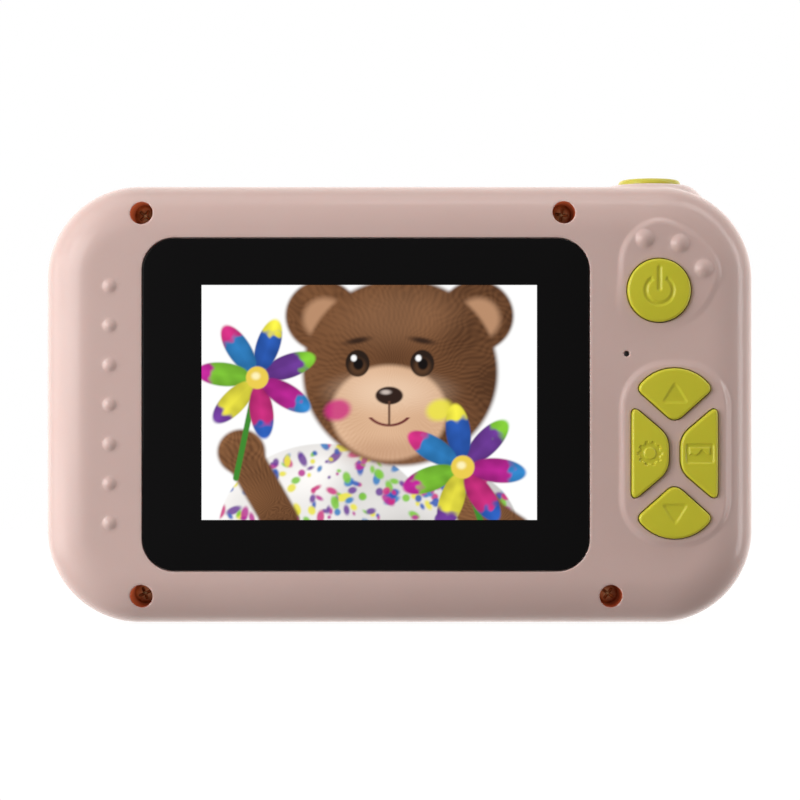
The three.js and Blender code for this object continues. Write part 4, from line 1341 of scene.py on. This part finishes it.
def make_floor():
    """A pale round floor that fades out into the white background."""
    material, tree, shader = new_material(
        "pale_floor", (0.16, 0.16, 0.16), 0.8,
        Specular_IOR_Level=0.0, Emission_Color=(1, 1, 1, 1), Emission_Strength=0.93,
    )
    length = add_node(tree, "VectorMath")
    length.operation = "LENGTH"
    tree.links.new(add_node(tree, "TexCoord").outputs["Object"], length.inputs[0])
    fade = map_range(tree, length.outputs["Value"], 0.08, 0.30, 1.0, 0.0, "SMOOTHSTEP")
    tree.links.new(fade, shader.inputs["Alpha"])
    bpy.ops.mesh.primitive_circle_add(vertices=96, radius=0.32, fill_type="NGON", location=(0, 0, -0.0002))
    floor = bpy.context.object
    floor.name = "floor"
    floor.visible_glossy = False
    floor.visible_diffuse = False
    floor.visible_shadow = False
    floor.data.materials.append(material)


def area_light(name, place, along, size, power, colour=(1, 1, 1), mirrored=True):
    """A soft box that faces the object, its length along a given direction. One that isn't mirrored
    lights the object without a reflection in it."""
    data = bpy.data.lights.new(name, "AREA")
    data.shape = "RECTANGLE"
    data.size, data.size_y = size
    data.energy = power
    data.color = colour
    light = bpy.data.objects.new(name, data)
    back = (Vector(place) - Vector((0, 0, TOP * MM))).normalized()
    across = back.cross(Vector(along)).normalized()
    turn = Matrix((across.cross(back), across, back)).transposed()
    light.matrix_world = Matrix.Translation(place) @ turn.to_4x4()
    light.visible_camera = False
    light.visible_glossy = mirrored
    bpy.context.scene.collection.objects.link(light)


def make_lights():
    """Soft boxes on the left and over the case, and thin strips round the right half."""
    along_x, along_y, along_z, slanting = (1, 0, 0), (0, 1, 0), (0, 0, 1), (-1, 0, 1)
    warm = (1, 0.985, 0.97)
    area_light("left_box", (-0.50, -0.06, 0.03), along_y, (0.35, 0.35), 0.72, warm)
    area_light("low_left_box", (-0.42, -0.18, -0.12), along_y, (0.25, 0.25), 0.12, warm)
    area_light("high_left_box", (-0.42, -0.15, 0.34), along_y, (0.32, 0.32), 0.40, warm)
    area_light("front_left_box", (-0.40, -0.35, 0.16), along_z, (0.3, 0.3), 0.76, warm)
    area_light("top_box", (-0.05, -0.08, 0.55), along_x, (0.5, 0.3), 0.44, warm)
    area_light("fill", (-0.32, -0.28, 0.06), along_z, (0.2, 0.2), 0.66, (0.96, 1, 1.04), False)
    area_light("side_strip", (0.40, -0.03, 0.06), along_z, (0.35, 0.10), 0.42)
    area_light("corner_strip", (0.30, -0.06, 0.34), slanting, (0.3, 0.09), 0.24)
    area_light("top_strip", (0.12, -0.12, 0.45), along_x, (0.3, 0.08), 0.10)


def make_world():
    """White to the camera. To surfaces it is bright behind the object and dark on the camera's side."""
    world = bpy.data.worlds.new("studio")
    world.use_nodes = True
    tree = world.node_tree
    split = add_node(tree, "SeparateXYZ")
    tree.links.new(add_node(tree, "TexCoord").outputs["Generated"], split.inputs["Vector"])
    strength = map_range(tree, split.outputs["Y"], 0.1, 0.75, 0.26, 1.5, "SMOOTHSTEP")
    back = tree.nodes["Background"]
    back.inputs["Color"].default_value = (1, 0.94, 0.91, 1)
    tree.links.new(strength, back.inputs["Strength"])
    seen = add_node(tree, "Background", Color=(1, 1, 1, 1), Strength=1.0)
    mix = add_node(tree, "MixShader")
    tree.links.new(add_node(tree, "LightPath").outputs["Is Camera Ray"], mix.inputs["Fac"])
    tree.links.new(back.outputs["Background"], mix.inputs[1])
    tree.links.new(seen.outputs["Background"], mix.inputs[2])
    tree.links.new(mix.outputs["Shader"], tree.nodes["World Output"].inputs["Surface"])
    bpy.context.scene.world = world


CAMERA_AWAY = 345.0
CAMERA_LENS = CAMERA_AWAY * 0.30952
CAMERA_X, CAMERA_UP = 0.07, 0.66


def make_camera():
    data = bpy.data.cameras.new("camera")
    data.lens = CAMERA_LENS
    data.sensor_width = 36
    camera = bpy.data.objects.new("camera", data)
    camera.location = (CAMERA_X * MM, -(FACE_OUT + CAMERA_AWAY) * MM, (TOP + CAMERA_UP) * MM)
    camera.rotation_euler = (math.pi / 2, 0, 0)
    bpy.context.scene.collection.objects.link(camera)
    bpy.context.scene.camera = camera


# ---- Everything ----

make_camera()
make_rear_cover()
make_front_housing()
make_border()
make_picture()
for key_name, key_loop in key_loops().items():
    make_key(key_name, key_loop)
make_shutter()
for screw_number, (screw_x, screw_z) in enumerate(SCREWS, 1):
    make_case_screw(screw_number, screw_x, screw_z)
make_lens_ring()
make_lens_window()
make_lens_baffle()
make_lens_element()
make_flash_window()
make_port_cover()
dress_cad_nodes()
make_floor()
make_lights()
make_world()
bpy.context.scene.view_settings.view_transform = "Standard"
